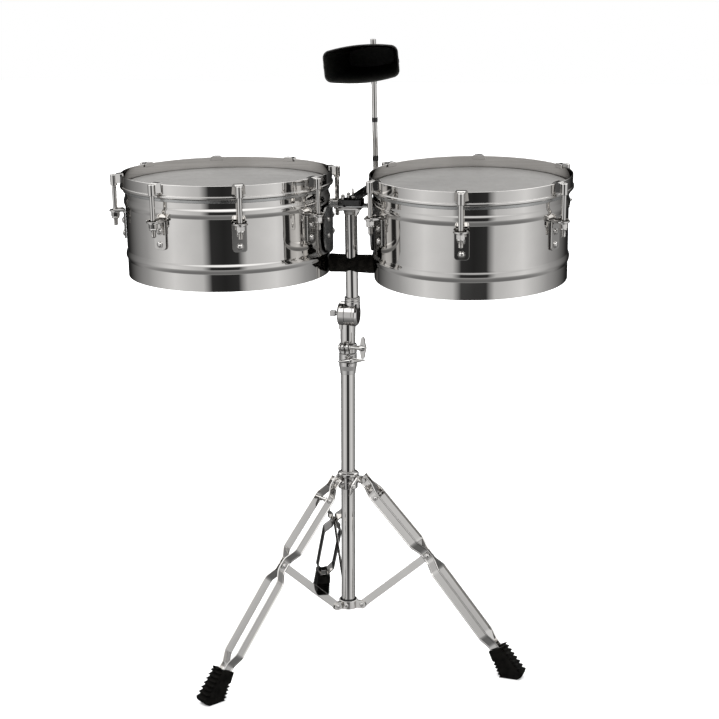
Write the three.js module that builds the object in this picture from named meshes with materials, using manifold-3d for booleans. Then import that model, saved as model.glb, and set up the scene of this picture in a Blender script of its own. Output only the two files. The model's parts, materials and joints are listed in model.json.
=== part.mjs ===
// A pair of metal timbales on a folding tripod stand, with a cowbell on a post behind them.
// Millimetres, +Z up, +X from the large drum to the small one, the player on the -Y side.
import * as THREE from "three";
import { mergeVertices } from "three/addons/utils/BufferGeometryUtils.js";
import Module from "manifold-3d";

const wasm = await Module();
wasm.setup();

// ---------------------------------------------------------------- driving dimensions

const GAP = 0.4; // air between two pieces that touch
const PIN_SLACK = 0.35; // a pin's radial play in its hole

// Drums, measured from the centre of each hoop's top edge.
const DRUMS = {
  left: { radius: 178, centre: [-210.7, -27.8, 895.3], lean: 2.8, lugs: 8, firstLug: 24, bracketAt: 95.5 },
  right: { radius: 165, centre: [219.3, -27.8, 900.3], lean: 4.9, lugs: 6, firstLug: 4, bracketAt: -95.5 },
};
const DRUM_SIDES = 40;
const SHEET = 1.6; // shell wall
const BEAD = 2.5; // how far the two rolled beads stand out
const SHELL = {
  top: -20.7, neck: -38, beadFoot: -57,
  lowBeadTop: -130.5, lowBeadFoot: -149, bottom: -178,
};
const HOOP = { inner: 3.8, outer: 6.3, foot: -23.7, roll: 1.6, flange: 1.6, flangeThick: 2 };
const HEAD = { top: -19.5, film: 0.8, collarOut: 1.3, ringTop: -24.2, ringFoot: -29.5, ringOut: 3 };
const ROD_OFFSET = 17.5; // tension rods' distance outside the shell
const ROD = { radius: 4.1, foot: -88 };
const CLAW = {
  width: 23, nose: 11, top: 2.2, foot: -14, lip: -6, round: 6,
  boss: 6.1, bossFoot: -18.5, bossTop: 0.4,
};
const LUG = {
  width: 25, top: -60.5, shelf: 3, foot: -111, thick: 3,
  nut: 7.8, nutFoot: -76, screws: [-80, -102], screw: 5.7,
};
const BRACKET = {
  stand: 3.2, thick: 3.4, top: -57, foot: -140, half: 42, corner: 16,
  boltRows: [-80, -109], boltHalf: 25.5, bolt: 5.5,
};
const TAB_ENDS = { left: [-28, -0.5], right: [1.5, 49.5] }; // each drum's tab, along the mast's X

// Tripod, as [distance from the post's axis, height].
const LEG_AZIMUTHS = [-36.1, 83.9, -156.1]; // degrees from the player's side towards +X
const HUB_PIVOT = [31.9, 340.8];
const KNEE = [151.7, 209.8];
const ANKLE = [282, 50];
const COLLAR_PIVOT = [27.1, 100.2];
const STRIP = { width: 18, thick: 2.6, spread: 16.5, ramp: 20, land: 11, end: 7.5, footEnd: 24 };
const BRACE = { width: 14, thick: 2.5, air: 0.5 };
const ANKLE_HALF = 7; // half the gap between the strips where the boot holds them
const SPACER_AT = 38; // along the upper leg, from the hub's pin
const RIVET = { head: 4.5, tall: 1.8 };
const PIVOT_PIN = 2.6;
const FOOT = {
  width: 26, toothOut: 6.5, toothIn: 3.8, outerTeeth: 6, innerTeeth: 4, rake: 0.2,
  heel: [291, 0], sole: 324, ball: [331, 4.5], toe: [335, 14],
  outerTop: [298, 59.5], innerTop: [271, 46], collarLow: [278, 29],
};

// Post: every height is above the floor.
const BASE_TUBE = { outer: 12.7, inner: 11.5, bottom: 93, top: 570 };
const BRACE_COLLAR = { outer: 17, bottom: 92, top: 107.6, fork: 2.3, ear: 8, slotFrom: 18.5 };
const LEG_HUB = {
  outer: 17.6, bottom: 323, shoulder: 345, top: 353, flange: 19.5,
  tongue: 3, eye: 6.5, boltHeight: 333, boss: 6.5, bossEnd: 24,
};
const HEIGHT_CLAMP = {
  outer: 16, neck: 13.8, bottom: 536, shoulder: 551, top: 573.6,
  boltHeight: 564.5, boss: 6.5, bossEnd: 21,
};
const MEMORY_LOCK = { outer: 16, bottom: 574.2, top: 590.4, screw: -21, screwHeight: 587.8 };
const LOCK_EARS = { halfX: 7, radius: 7.5, slit: 1.2 };
const LOCK_WING = { x: 32, halfX: 6.4, halfY: 3, halfZ: 20, neck: 4.5 };
const LOCK_KNOB = { radius: 5.6, left: -12 };
const HEIGHT_TUBE = {
  outer: 11.1, inner: 9.9, bottom: 230,
  sleeveBottom: 591, sleeveTop: 621.2, sleeve: 13.8,
};
const TILT_AXIS = 644;
const TILTER = { radius: 22.3, left: -15.8, seam: -3.2, right: 11.2, bolt: 4, cheek: 19.6 };
const KEY_HEAD = { left: -32.4, right: -21.5, half: 4.8 };
const SCREW = 3; // radius of the stand's clamp screws
const HUB_BOLT = { azimuth: 30, halfSpan: 20, turn: 67 };
const CLAMP_BOLT = { azimuth: 26, halfSpan: 27.5, turn: 0 };
const WING = { half: 4.9, deep: 9, tip: 0.9, hub: 5.2 };

// Mast: a frame that turns about the tilt axis; its heights are above that axis.
const MAST_LEAN = 3.8;
const MAST_X = 8.5;
const MAST_TUBE = { outer: 11.1, inner: 9.9, bottom: 22.9, top: 189.2 };
const MAST_CUP = { outer: 14, bottom: 12, top: 31.4, spigotTop: 46 };
const TOP_PLATE = { thick: 2.5, halfX: 21, halfY: 18, gusset: 12, spacer: 14 };
const TAB = { bottom: 193.4, thick: 2.5, halfY: 16 };
const LOW_BAR = { height: 92, radius: 8, left: -27, right: 49 };
const FOAM = { radius: 16.2, left: -30.4, right: 52 };

// Cowbell, its arm and its post, in the mast's frame.
const ARM = { bottom: 196.3, base: 9, thick: 4, width: 24, from: [11, 10, 204], to: [35.2, 70, 219] };
const ARM_BASE = { left: -12, right: 30, front: -14, back: 16 };
const ROD_BLOCK = { halfX: 11, front: -14, back: 11, below: 10, above: 12 };
const ARM_NUTS = [{ x: -3.5, y: -7, radius: 4.2, tall: 9 }, { x: 4, y: 3, radius: 3.6, tall: 11 }];
const ARM_WING = { x: 12.6, halfX: 3.7, halfY: 2, tall: 20 };
const BELL_ROD = {
  radius: 4.75, x: 35.6, y: 82.8, foot: 202, top: 470.5, lean: -0.5,
  rings: [[260, 269], [328, 336]], ringOut: 0.6,
};
const BELL = {
  mouth: [62, 26], heel: [40, 15], length: 150, wall: 2, height: 442,
  azimuth: 5.3, roll: -4.2, corner: 12, crown: 11, clampFrom: -12,
};

const CHROME = { color: 0xb9bbbd, roughness: 0.08, metalness: 1 };
const MATERIALS = {
  chrome: new THREE.MeshStandardMaterial(CHROME),
  head: new THREE.MeshStandardMaterial({ color: 0x9b9892, roughness: 0.6, metalness: 0 }),
  rubber: new THREE.MeshStandardMaterial({ color: 0x17150f, roughness: 0.8, metalness: 0 }),
  foam: new THREE.MeshStandardMaterial({ color: 0x12100c, roughness: 0.95, metalness: 0 }),
  bell: new THREE.MeshStandardMaterial({ color: 0x0b0b0b, roughness: 0.45, metalness: 0.2 }),
};

// ---------------------------------------------------------------- solids

const rad = THREE.MathUtils.degToRad;

// A closed geometry as a solid whose faces point out.
function solid(geometry) {
  const bare = new THREE.BufferGeometry();
  bare.setAttribute("position", geometry.getAttribute("position"));
  bare.setIndex(geometry.getIndex());
  const merged = mergeVertices(bare, 1e-4);
  const vertProperties = merged.attributes.position.array;
  const triVerts = new Uint32Array(merged.index.array);
  const build = () => new wasm.Manifold(new wasm.Mesh({ numProp: 3, vertProperties, triVerts }));
  const made = build();
  if (made.volume() >= 0) return made;
  for (let i = 0; i < triVerts.length; i += 3) {
    [triVerts[i + 1], triVerts[i + 2]] = [triVerts[i + 2], triVerts[i + 1]];
  }
  return build();
}

function geometryOf(made) {
  const mesh = made.getMesh();
  const geometry = new THREE.BufferGeometry();
  geometry.setAttribute("position", new THREE.BufferAttribute(mesh.vertProperties, mesh.numProp));
  geometry.setIndex(new THREE.BufferAttribute(mesh.triVerts, 1));
  geometry.computeVertexNormals();
  return geometry;
}

const joined = (...pieces) => geometryOf(pieces.map(solid).reduce((a, b) => a.add(b)));
const cut = (piece, ...tools) => geometryOf(tools.map(solid).reduce((a, b) => a.subtract(b), solid(piece)));
const shared = (a, b) => geometryOf(solid(a).intersect(solid(b)));

// A solid turned about Z from [radius, height] points.
function turned(points, sides) {
  const profile = points.map(([r, z]) => new THREE.Vector2(r, z));
  return new THREE.LatheGeometry(profile, sides).rotateX(Math.PI / 2);
}

const rod = (r, z0, z1, sides = 12) => turned([[0, z0], [r, z0], [r, z1], [0, z1]], sides);
const ring = (rIn, rOut, z0, z1, sides = 20) =>
  turned([[rIn, z0], [rOut, z0], [rOut, z1], [rIn, z1], [rIn, z0]], sides);
const rodX = (r, x0, x1, sides = 12) => rod(r, x0, x1, sides).rotateY(Math.PI / 2);
const rodY = (r, y0, y1, sides = 8) => rod(r, y0, y1, sides).rotateX(-Math.PI / 2);

// A box from its lowest to its highest corner.
function box(x0, x1, y0, y1, z0, z1) {
  const made = new THREE.BoxGeometry(x1 - x0, y1 - y0, z1 - z0);
  return made.translate((x0 + x1) / 2, (y0 + y1) / 2, (z0 + z1) / 2);
}

// A flat outline in X and Z, `thick` along Y and centred on Y = 0.
function upright(shape, thick, curveSegments = 6) {
  const made = new THREE.ExtrudeGeometry(shape, { depth: thick, bevelEnabled: false, curveSegments });
  return made.translate(0, 0, -thick / 2).rotateX(Math.PI / 2);
}

const outline = (points) => new THREE.Shape(points.map(([x, y]) => new THREE.Vector2(x, y)));

// A rectangle with round corners, as a Shape centred on (x, y).
function roundedRect(x, y, halfX, halfY, corner) {
  const s = new THREE.Shape();
  s.moveTo(x + halfX, y - halfY + corner);
  s.absarc(x + halfX - corner, y + halfY - corner, corner, 0, Math.PI / 2);
  s.absarc(x - halfX + corner, y + halfY - corner, corner, Math.PI / 2, Math.PI);
  s.absarc(x - halfX + corner, y - halfY + corner, corner, Math.PI, 1.5 * Math.PI);
  s.absarc(x + halfX - corner, y - halfY + corner, corner, 1.5 * Math.PI, 2 * Math.PI);
  return s;
}

// A closed skin through rings of points, each end closed to its ring's centre.
function lofted(rings) {
  const count = rings[0].length;
  const centre = (points) => points.reduce((a, p) => a.add(p), new THREE.Vector3()).divideScalar(count);
  const points = [centre(rings[0]), ...rings.flat(), centre(rings.at(-1))];
  const index = [];
  for (let i = 0; i < count; i++) {
    const j = (i + 1) % count;
    index.push(0, 1 + j, 1 + i);
    for (let k = 0; k + 1 < rings.length; k++) {
      const a = 1 + k * count;
      const b = a + count;
      index.push(a + i, a + j, b + i, a + j, b + j, b + i);
    }
    const last = 1 + (rings.length - 1) * count;
    index.push(points.length - 1, last + i, last + j);
  }
  const geometry = new THREE.BufferGeometry().setFromPoints(points);
  geometry.setIndex(index);
  return geometry;
}

// ---------------------------------------------------------------- scene graph

const timbales = new THREE.Group();

function addGroup(parent, position = [0, 0, 0], rotation = [0, 0, 0]) {
  const group = new THREE.Group();
  group.position.set(...position);
  group.rotation.set(...rotation.map(rad));
  parent.add(group);
  return group;
}

function addPart(parent, name, geometry, material) {
  const mesh = new THREE.Mesh(geometryOf(solid(geometry)), MATERIALS[material]);
  mesh.name = name;
  parent.add(mesh);
  return mesh;
}

// A group whose +X points outwards at an azimuth counted from -Y towards +X.
const facing = (parent, azimuth) => addGroup(parent, [0, 0, 0], [0, 0, azimuth - 90]);

const post = addGroup(timbales);
const mast = addGroup(timbales, [0, 0, TILT_AXIS], [MAST_LEAN, 0, 0]);

// ---------------------------------------------------------------- drums

function shell(r) {
  const s = SHELL;
  return turned([
    [r - SHEET, s.bottom], [r, s.bottom], [r, s.lowBeadFoot], [r + BEAD, s.lowBeadFoot + 3],
    [r + BEAD, s.lowBeadTop - 3], [r, s.lowBeadTop], [r, s.beadFoot], [r + BEAD, s.beadFoot + 3],
    [r + BEAD, s.neck - 3], [r, s.neck], [r, s.top], [r - SHEET, s.top], [r - SHEET, s.bottom],
  ], DRUM_SIDES);
}

function hoop(r) {
  const h = HOOP;
  const rollTop = h.foot + 5.4;
  return turned([
    [r + h.inner, 0], [r + h.outer, 0], [r + h.outer, rollTop], [r + h.outer + h.roll, rollTop - 1.4],
    [r + h.outer + h.roll, h.foot + 1.4], [r + h.outer, h.foot], [r + h.flange, h.foot],
    [r + h.flange, h.foot + h.flangeThick], [r + h.inner, h.foot + h.flangeThick], [r + h.inner, 0],
  ], DRUM_SIDES);
}

// The skin, its collar over the shell's edge and the ring that the hoop pulls down.
function head(r) {
  const h = HEAD;
  const collarIn = r + 0.5;
  return turned([
    [0, h.top - h.film], [collarIn, h.top - h.film], [collarIn, h.ringFoot], [r + h.ringOut, h.ringFoot],
    [r + h.ringOut, h.ringTop], [r + h.collarOut, h.ringTop], [r + h.collarOut, h.top], [0, h.top],
  ], DRUM_SIDES);
}

// A claw that hooks over the hoop and narrows to a round boss, with its tension rod.
function hook(r) {
  const c = CLAW;
  const at = r + ROD_OFFSET;
  const lipIn = r + 0.8;
  const lipOut = r + HOOP.inner - 1;
  const wallIn = r + HOOP.outer + GAP;
  const half = c.width / 2;
  const side = upright(outline([
    [lipIn, c.top], [lipIn, c.lip], [lipOut, c.lip], [lipOut, GAP],
    [wallIn, GAP], [wallIn, c.foot], [at, c.foot], [at, c.bossTop], [wallIn + 3, c.top],
  ]), c.width);
  const plan = new THREE.ExtrudeGeometry(outline([
    [lipIn - 1, -half], [wallIn + 2, -half], [at, -c.nose / 2],
    [at, c.nose / 2], [wallIn + 2, half], [lipIn - 1, half],
  ]), { depth: 2 * c.width, bevelEnabled: false }).translate(0, 0, -c.width);
  const arch = upright(outline([
    [-half, c.foot], [half, c.foot], [half, c.top - c.round], [half - c.round, c.top],
    [c.round - half, c.top], [-half, c.top - c.round],
  ]), 3 * c.width).rotateZ(Math.PI / 2).translate(at, 0, 0);
  const boss = turned([
    [0, c.bossFoot], [c.boss, c.bossFoot], [c.boss, c.bossTop - 2], [c.boss - 2, c.bossTop], [0, c.bossTop],
  ], 10).translate(at, 0, 0);
  const stem = rod(ROD.radius, ROD.foot, c.bossFoot + 2, 8).translate(at, 0, 0);
  return joined(shared(shared(side, plan), arch), boss, stem);
}

// A lug: plate, round-nosed shelf, the tuning nut under the shelf and its two screws.
function lug(r) {
  const g = LUG;
  const face = r + 0.6;
  const at = r + ROD_OFFSET;
  const plate = new THREE.ExtrudeGeometry(
    roundedRect(0, (g.top + g.foot) / 2, g.width / 2, (g.top - g.foot) / 2, 6),
    { depth: g.thick, bevelEnabled: false, curveSegments: 2 },
  ).rotateX(Math.PI / 2).rotateZ(Math.PI / 2).translate(face, 0, 0);
  const shelf = joined(
    box(face, at, -g.width / 2, g.width / 2, g.top - g.shelf, g.top),
    rod(g.width / 2, g.top - g.shelf, g.top, 10).translate(at - 2, 0, 0),
  );
  const nut = rod(g.nut, g.nutFoot, g.top - g.shelf + 1, 6).translate(at, 0, 0);
  const screws = g.screws.map((z) => rodX(g.screw, face + 1, face + g.thick + 3.2, 6).translate(0, 0, z));
  const hole = rod(ROD.radius + 0.6, g.nutFoot - 1, g.top + 1, 8).translate(at, 0, 0);
  return cut(joined(plate, shelf, nut, ...screws), hole);
}

// A curved plate that stands off the shell on four bolts, with a flat tab onto the top plate.
function bracket(side, drum, drumGroup) {
  const b = BRACKET;
  const inner = drum.radius + b.stand;
  const wall = ring(inner, inner + b.thick, b.foot - 1, b.top + 1, 2 * DRUM_SIDES);
  const height = (b.top - b.foot) / 2;
  const window = new THREE.ExtrudeGeometry(
    roundedRect(0, (b.top + b.foot) / 2, b.half, height, b.corner),
    { depth: 2 * inner, bevelEnabled: false, curveSegments: 3 },
  ).rotateX(Math.PI / 2).rotateZ(Math.PI / 2);
  const curved = shared(wall, window);
  const turn = b.boltHalf / inner;
  const bolts = b.boltRows.flatMap((z) => [-turn, turn].map((a) =>
    rodX(b.bolt, drum.radius + 0.8, inner + b.thick + 3, 8).rotateZ(a).translate(0, 0, z)));
  const onDrum = joined(curved, ...bolts).rotateZ(rad(drum.bracketAt - 90));
  const [x0, x1] = TAB_ENDS[side];
  const tab = box(x0, x1, -TAB.halfY, TAB.halfY, TAB.bottom, TAB.bottom + TAB.thick);
  timbales.updateMatrixWorld(true);
  tab.applyMatrix4(mast.matrixWorld).applyMatrix4(drumGroup.matrixWorld.clone().invert());
  return joined(onDrum, tab);
}

function addDrum(side) {
  const drum = DRUMS[side];
  const group = addGroup(timbales, drum.centre, [drum.lean, 0, 0]);
  addPart(group, side + "_shell", shell(drum.radius), "chrome");
  addPart(group, side + "_hoop", hoop(drum.radius), "chrome");
  addPart(group, side + "_head", head(drum.radius), "head");
  addPart(group, side + "_bracket", bracket(side, drum, group), "chrome");
  const hookShape = hook(drum.radius);
  const lugShape = lug(drum.radius);
  for (let i = 0; i < drum.lugs; i++) {
    const place = facing(group, drum.firstLug + (i * 360) / drum.lugs);
    addPart(place, `${side}_tension_hook_${i + 1}`, hookShape, "chrome");
    addPart(place, `${side}_lug_${i + 1}`, lugShape, "chrome");
  }
}

// ---------------------------------------------------------------- tripod

// A flat strip along X that bows out between its ends, to +Y or -Y as `side` is 1 or -1.
function strip(length, side, start, finish, tail) {
  const s = STRIP;
  const rise = s.land + s.ramp;
  const path = [
    [-s.end, start], [s.land, start], [rise, s.spread], [length - rise, s.spread],
    [length - s.land, finish], [length + tail, finish],
  ].map(([x, y]) => [x, side * y]);
  const half = s.thick / 2;
  const edge = path.map(([x, y]) => [x, y - half]).concat(path.map(([x, y]) => [x, y + half]).reverse());
  const made = new THREE.ExtrudeGeometry(outline(edge), { depth: s.width, bevelEnabled: false });
  return made.translate(0, 0, -s.width / 2);
}

// Turns a piece made along +X so that it runs from one [distance, height] point to another.
function between(geometry, from, to) {
  const slope = Math.atan2(to[1] - from[1], to[0] - from[0]);
  return geometry.rotateY(-slope).translate(from[0], 0, from[1]);
}

const distance = (a, b) => Math.hypot(b[0] - a[0], b[1] - a[1]);

// A point further down the line of the lower leg.
const beyondAnkle = () => [2 * ANKLE[0] - KNEE[0], 2 * ANKLE[1] - KNEE[1]];

// Two bowed strips a side, riveted at the ankle and at a spacer below the hub.
function leg() {
  const tongue = LEG_HUB.tongue + GAP + STRIP.thick / 2;
  const knee = BRACE.thick / 2 + BRACE.air + STRIP.thick / 2;
  const upper = distance(HUB_PIVOT, KNEE);
  const lower = distance(KNEE, ANKLE);
  const strips = [1, -1].flatMap((side) => [
    between(strip(upper, side, tongue, knee, STRIP.end), HUB_PIVOT, KNEE),
    between(strip(lower, side, knee, ANKLE_HALF, STRIP.footEnd), KNEE, ANKLE),
  ]);
  const rivetOut = knee + STRIP.thick / 2 + RIVET.tall;
  const rivets = [[knee, rivetOut], [-rivetOut, -knee]].map(([y0, y1]) =>
    rodY(RIVET.head, y0, y1).translate(KNEE[0], 0, KNEE[1]));
  const post = rodY(3, -STRIP.spread, STRIP.spread, 8).translate(SPACER_AT, 0, 0);
  const spacer = between(post, HUB_PIVOT, KNEE);
  const filler = box(-4, STRIP.footEnd, -ANKLE_HALF, ANKLE_HALF, -5, 5);
  const block = between(filler, ANKLE, beyondAnkle());
  const hole = rodY(PIVOT_PIN + PIN_SLACK, -12, 12).translate(HUB_PIVOT[0], 0, HUB_PIVOT[1]);
  return cut(joined(...strips, ...rivets, spacer, block), hole);
}

function brace() {
  const length = distance(COLLAR_PIVOT, KNEE);
  const end = BRACE.width / 2;
  const shape = roundedRect(length / 2, 0, length / 2 + end, end, end - 0.01);
  const bar = upright(shape, BRACE.thick, 3);
  const holes = [0, length].map((x) => rodY(PIVOT_PIN + PIN_SLACK, -3, 3).translate(x, 0, 0));
  return between(cut(bar, ...holes), COLLAR_PIVOT, KNEE);
}

// A saw-toothed rubber boot: its side outline in [distance, height], a flat sole and a socket.
function foot() {
  const f = FOOT;
  const along = (a, b, t) => [a[0] + (b[0] - a[0]) * t, a[1] + (b[1] - a[1]) * t];
  const teeth = (from, to, count, out, lift) => {
    const points = [];
    for (let i = 0; i < count; i++) {
      const [x, z] = along(from, to, i / count);
      if (i) points.push([x, z]);
      points.push([x + out, z + lift]);
    }
    return points;
  };
  const boot = upright(outline([
    f.heel, [f.sole, 0], f.ball, f.toe,
    ...teeth(f.toe, f.outerTop, f.outerTeeth, -f.toothOut, f.rake),
    f.outerTop, f.innerTop, f.collarLow,
    ...teeth(f.collarLow, f.heel, f.innerTeeth, f.toothIn, -f.rake),
  ]), f.width);
  const reach = STRIP.footEnd + GAP;
  const wide = ANKLE_HALF + STRIP.thick / 2 + GAP;
  const deep = STRIP.width / 2 + GAP;
  const socket = between(box(-30, reach, -wide, wide, -deep, deep), ANKLE, beyondAnkle());
  return cut(boot, socket);
}

// The fixed collar that the braces turn on: a forked ear and a rivet for each brace.
function braceCollar() {
  const c = BRACE_COLLAR;
  const slot = BRACE.thick / 2 + PIN_SLACK;
  const ear = slot + c.fork;
  const [x, z] = COLLAR_PIVOT;
  const middle = (c.top + c.bottom) / 2;
  const forks = LEG_AZIMUTHS.map((azimuth) => {
    const fork = joined(
      box(BASE_TUBE.outer + 1, x, -ear, ear, c.bottom + 0.5, c.top - 0.5),
      rodY(c.ear, -ear, ear, 10).translate(x, 0, middle),
    );
    const open = cut(fork, box(c.slotFrom, x + 12, -slot, slot, c.bottom - 5, c.top + 5));
    const pin = rodY(PIVOT_PIN, -ear - 1.4, ear + 1.4, 8).translate(x, 0, z);
    return joined(open, pin).rotateZ(rad(azimuth - 90));
  });
  return joined(ring(BASE_TUBE.outer + GAP, c.outer, c.bottom, c.top), ...forks);
}

// The sliding hub: a flanged barrel, a tongue and a pin for each leg, and a boss for its bolt.
function legHub() {
  const h = LEG_HUB;
  const [x, z] = HUB_PIVOT;
  const bore = BASE_TUBE.outer + GAP;
  const barrel = turned([
    [bore, h.bottom], [h.outer, h.bottom], [h.outer, h.shoulder], [h.flange, h.shoulder + 2],
    [h.flange, h.top - 2], [h.outer, h.top], [bore, h.top], [bore, h.bottom],
  ], 20);
  const out = h.tongue + 2 * GAP + STRIP.thick; // where each pin's head begins
  const tongues = LEG_AZIMUTHS.map((azimuth) => joined(
    box(h.outer - 2, x, -h.tongue, h.tongue, z - 7, z + 4),
    rodY(h.eye, -h.tongue, h.tongue, 10).translate(x, 0, z),
    rodY(PIVOT_PIN, -out - 1, out + 1).translate(x, 0, z),
    rodY(RIVET.head, out, out + RIVET.tall).translate(x, 0, z),
    rodY(RIVET.head, -out - RIVET.tall, -out).translate(x, 0, z),
  ).rotateZ(rad(azimuth - 90)));
  const place = (piece) => piece.translate(0, 0, h.boltHeight).rotateZ(rad(HUB_BOLT.azimuth - 90));
  const boss = place(rodX(h.boss, h.outer - 2, h.bossEnd, 12));
  const hole = place(rodX(SCREW + PIN_SLACK, BASE_TUBE.outer - 2, h.bossEnd + 5, 12));
  return cut(joined(barrel, ...tongues, boss), hole);
}

// A screw along +X with a round hub beyond x1 and two wings that thin out to their tips.
function wingBolt(bolt, x1) {
  const w = WING;
  const { halfSpan } = bolt;
  const leaf = new THREE.Shape();
  leaf.moveTo(-halfSpan, -w.tip);
  leaf.quadraticCurveTo(-halfSpan / 3, -w.tip, 0, -w.half);
  leaf.quadraticCurveTo(halfSpan / 3, -w.tip, halfSpan, -w.tip);
  leaf.lineTo(halfSpan, w.tip);
  leaf.quadraticCurveTo(halfSpan / 3, w.tip, 0, w.half);
  leaf.quadraticCurveTo(-halfSpan / 3, w.tip, -halfSpan, w.tip);
  const wing = new THREE.ExtrudeGeometry(leaf, { depth: w.deep, bevelEnabled: false, curveSegments: 3 });
  wing.rotateX(Math.PI / 2).rotateZ(Math.PI / 2).translate(x1 + 1, 0, 0);
  const screw = rodX(SCREW, BASE_TUBE.outer + GAP, x1 + 5, 10);
  return joined(screw, rodX(w.hub, x1, x1 + w.deep + 1.5, 10), wing).rotateX(rad(bolt.turn));
}

function addTripod() {
  addPart(post, "base_tube_with_brace_collar", joined(baseTube(), braceCollarSolid()), "chrome");
  addPart(post, "leg_hub", legHub(), "chrome");
  const hubBolt = wingBolt(HUB_BOLT, LEG_HUB.bossEnd + 1).translate(0, 0, LEG_HUB.boltHeight);
  addPart(facing(post, HUB_BOLT.azimuth), "leg_hub_wing_bolt", hubBolt, "chrome");
  const legShape = leg();
  const braceShape = brace();
  const footShape = foot();
  LEG_AZIMUTHS.forEach((azimuth, i) => {
    const place = facing(post, azimuth);
    addPart(place, `leg_${i + 1}`, legShape, "chrome");
    addPart(place, `brace_${i + 1}`, braceShape, "chrome");
    addPart(place, `rubber_foot_${i + 1}`, footShape, "rubber");
  });
}

const baseTube = () => ring(BASE_TUBE.inner, BASE_TUBE.outer, BASE_TUBE.bottom, BASE_TUBE.top);

// The collar is riveted to the tube, so its ring reaches into the tube's wall.
function braceCollarSolid() {
  const c = BRACE_COLLAR;
  return joined(ring(BASE_TUBE.outer - 0.5, c.outer - 1, c.bottom + 2, c.top - 2), braceCollar());
}

// ---------------------------------------------------------------- post

function heightClamp() {
  const c = HEIGHT_CLAMP;
  const fit = BASE_TUBE.outer + GAP;
  const lip = BASE_TUBE.top + GAP;
  const casting = turned([
    [fit, c.bottom], [c.neck, c.bottom], [c.outer, c.shoulder], [c.outer, c.top],
    [BASE_TUBE.inner, c.top], [BASE_TUBE.inner, lip], [fit, lip], [fit, c.bottom],
  ], 20);
  const place = (piece) => piece.translate(0, 0, c.boltHeight).rotateZ(rad(CLAMP_BOLT.azimuth - 90));
  const boss = place(rodX(c.boss, c.outer - 2, c.bossEnd, 12));
  return cut(joined(casting, boss), place(rodX(SCREW + PIN_SLACK, fit - 0.2, c.bossEnd + 5, 12)));
}

// A split ring with two ears on the player's side, closed by a screw along X.
function memoryLock() {
  const m = MEMORY_LOCK;
  const e = LOCK_EARS;
  const below = m.bottom - 5;
  const above = m.screwHeight + e.radius + 5;
  const round = rodX(e.radius, -e.halfX, e.halfX, 14).translate(0, m.screw, m.screwHeight);
  const root = box(-e.halfX, e.halfX, m.screw, -8, m.bottom + 0.8, m.top - 0.8);
  const ears = cut(joined(round, root), rod(HEIGHT_TUBE.sleeve + GAP, below, above, 24));
  const body = joined(ring(HEIGHT_TUBE.outer + GAP, m.outer, m.bottom, m.top), ears);
  const bore = rodX(SCREW + PIN_SLACK, -20, 20, 12).translate(0, m.screw, m.screwHeight);
  return cut(body, box(-e.slit, e.slit, 2 * m.screw, -8, below, above), bore);
}

// The screw of the memory lock, with a round head and an upright oval wing.
function memoryWing() {
  const w = LOCK_WING;
  const oval = rodY(1, -w.halfY, w.halfY, 16).scale(w.halfX, 1, w.halfZ).translate(w.x, 0, 0);
  const neck = rodX(w.neck, w.x - w.halfX - 4, w.x, 12);
  const knob = rodX(LOCK_KNOB.radius, LOCK_KNOB.left, -LOCK_EARS.halfX - 0.6, 12);
  return joined(rodX(SCREW, LOCK_KNOB.left + 3, w.x, 12), knob, neck, oval);
}

// The sliding tube, with the fixed half of the tilter on its top.
function heightTube() {
  const h = HEIGHT_TUBE;
  const t = TILTER;
  const plug = h.sleeveBottom + 12;
  const shoulder = TILT_AXIS - 8;
  const tube = ring(h.inner, h.outer, h.bottom, plug);
  const sleeve = turned([
    [0, plug], [h.inner - 0.5, plug], [h.inner + 0.3, h.sleeveBottom], [h.sleeve - 1, h.sleeveBottom],
    [h.sleeve, h.sleeveTop], [h.sleeve, shoulder], [0, shoulder],
  ], 20);
  const clear = box(t.seam, 30, -30, 30, h.sleeveTop, TILT_AXIS + 30);
  const disc = rodX(t.radius, t.left, t.seam, 20).translate(0, 0, TILT_AXIS);
  const bore = rodX(t.bolt + PIN_SLACK, -30, 30, 14).translate(0, 0, TILT_AXIS);
  return cut(joined(tube, cut(sleeve, clear), disc), bore);
}

// The turning half of the tilter, with the cup and the spigot that hold the mast's tube.
function tilterUpper() {
  const t = TILTER;
  const m = MAST_TUBE;
  const c = MAST_CUP;
  const disc = rodX(t.radius, t.seam + GAP, t.right, 20);
  const arm = joined(
    rodX(t.radius - 1.5, t.right - 1, t.cheek, 20),
    box(t.right - 1, t.cheek, -12, 12, 0, m.bottom - GAP),
  );
  const cup = ring(m.outer + GAP, c.outer, m.bottom - 1, c.top).translate(MAST_X, 0, 0);
  const floor = rod(c.outer, c.bottom, m.bottom - GAP, 20).translate(MAST_X, 0, 0);
  const spigot = rod(m.inner - GAP, c.bottom, c.spigotTop, 20).translate(MAST_X, 0, 0);
  const bore = rodX(t.bolt + PIN_SLACK, -30, 12, 14);
  const trim = box(-30, t.seam + GAP, -30, 30, -30, 60);
  return cut(joined(disc, arm, cup, floor, spigot), bore, trim);
}

function keyBolt() {
  const k = KEY_HEAD;
  const neck = rodX(TILTER.bolt - 0.8, k.right - 1, TILTER.left, 14);
  const stem = rodX(TILTER.bolt, TILTER.left - 1.5, 10.5, 14);
  return joined(neck, stem, box(k.left, k.right, -k.half, k.half, -k.half, k.half));
}

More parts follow.
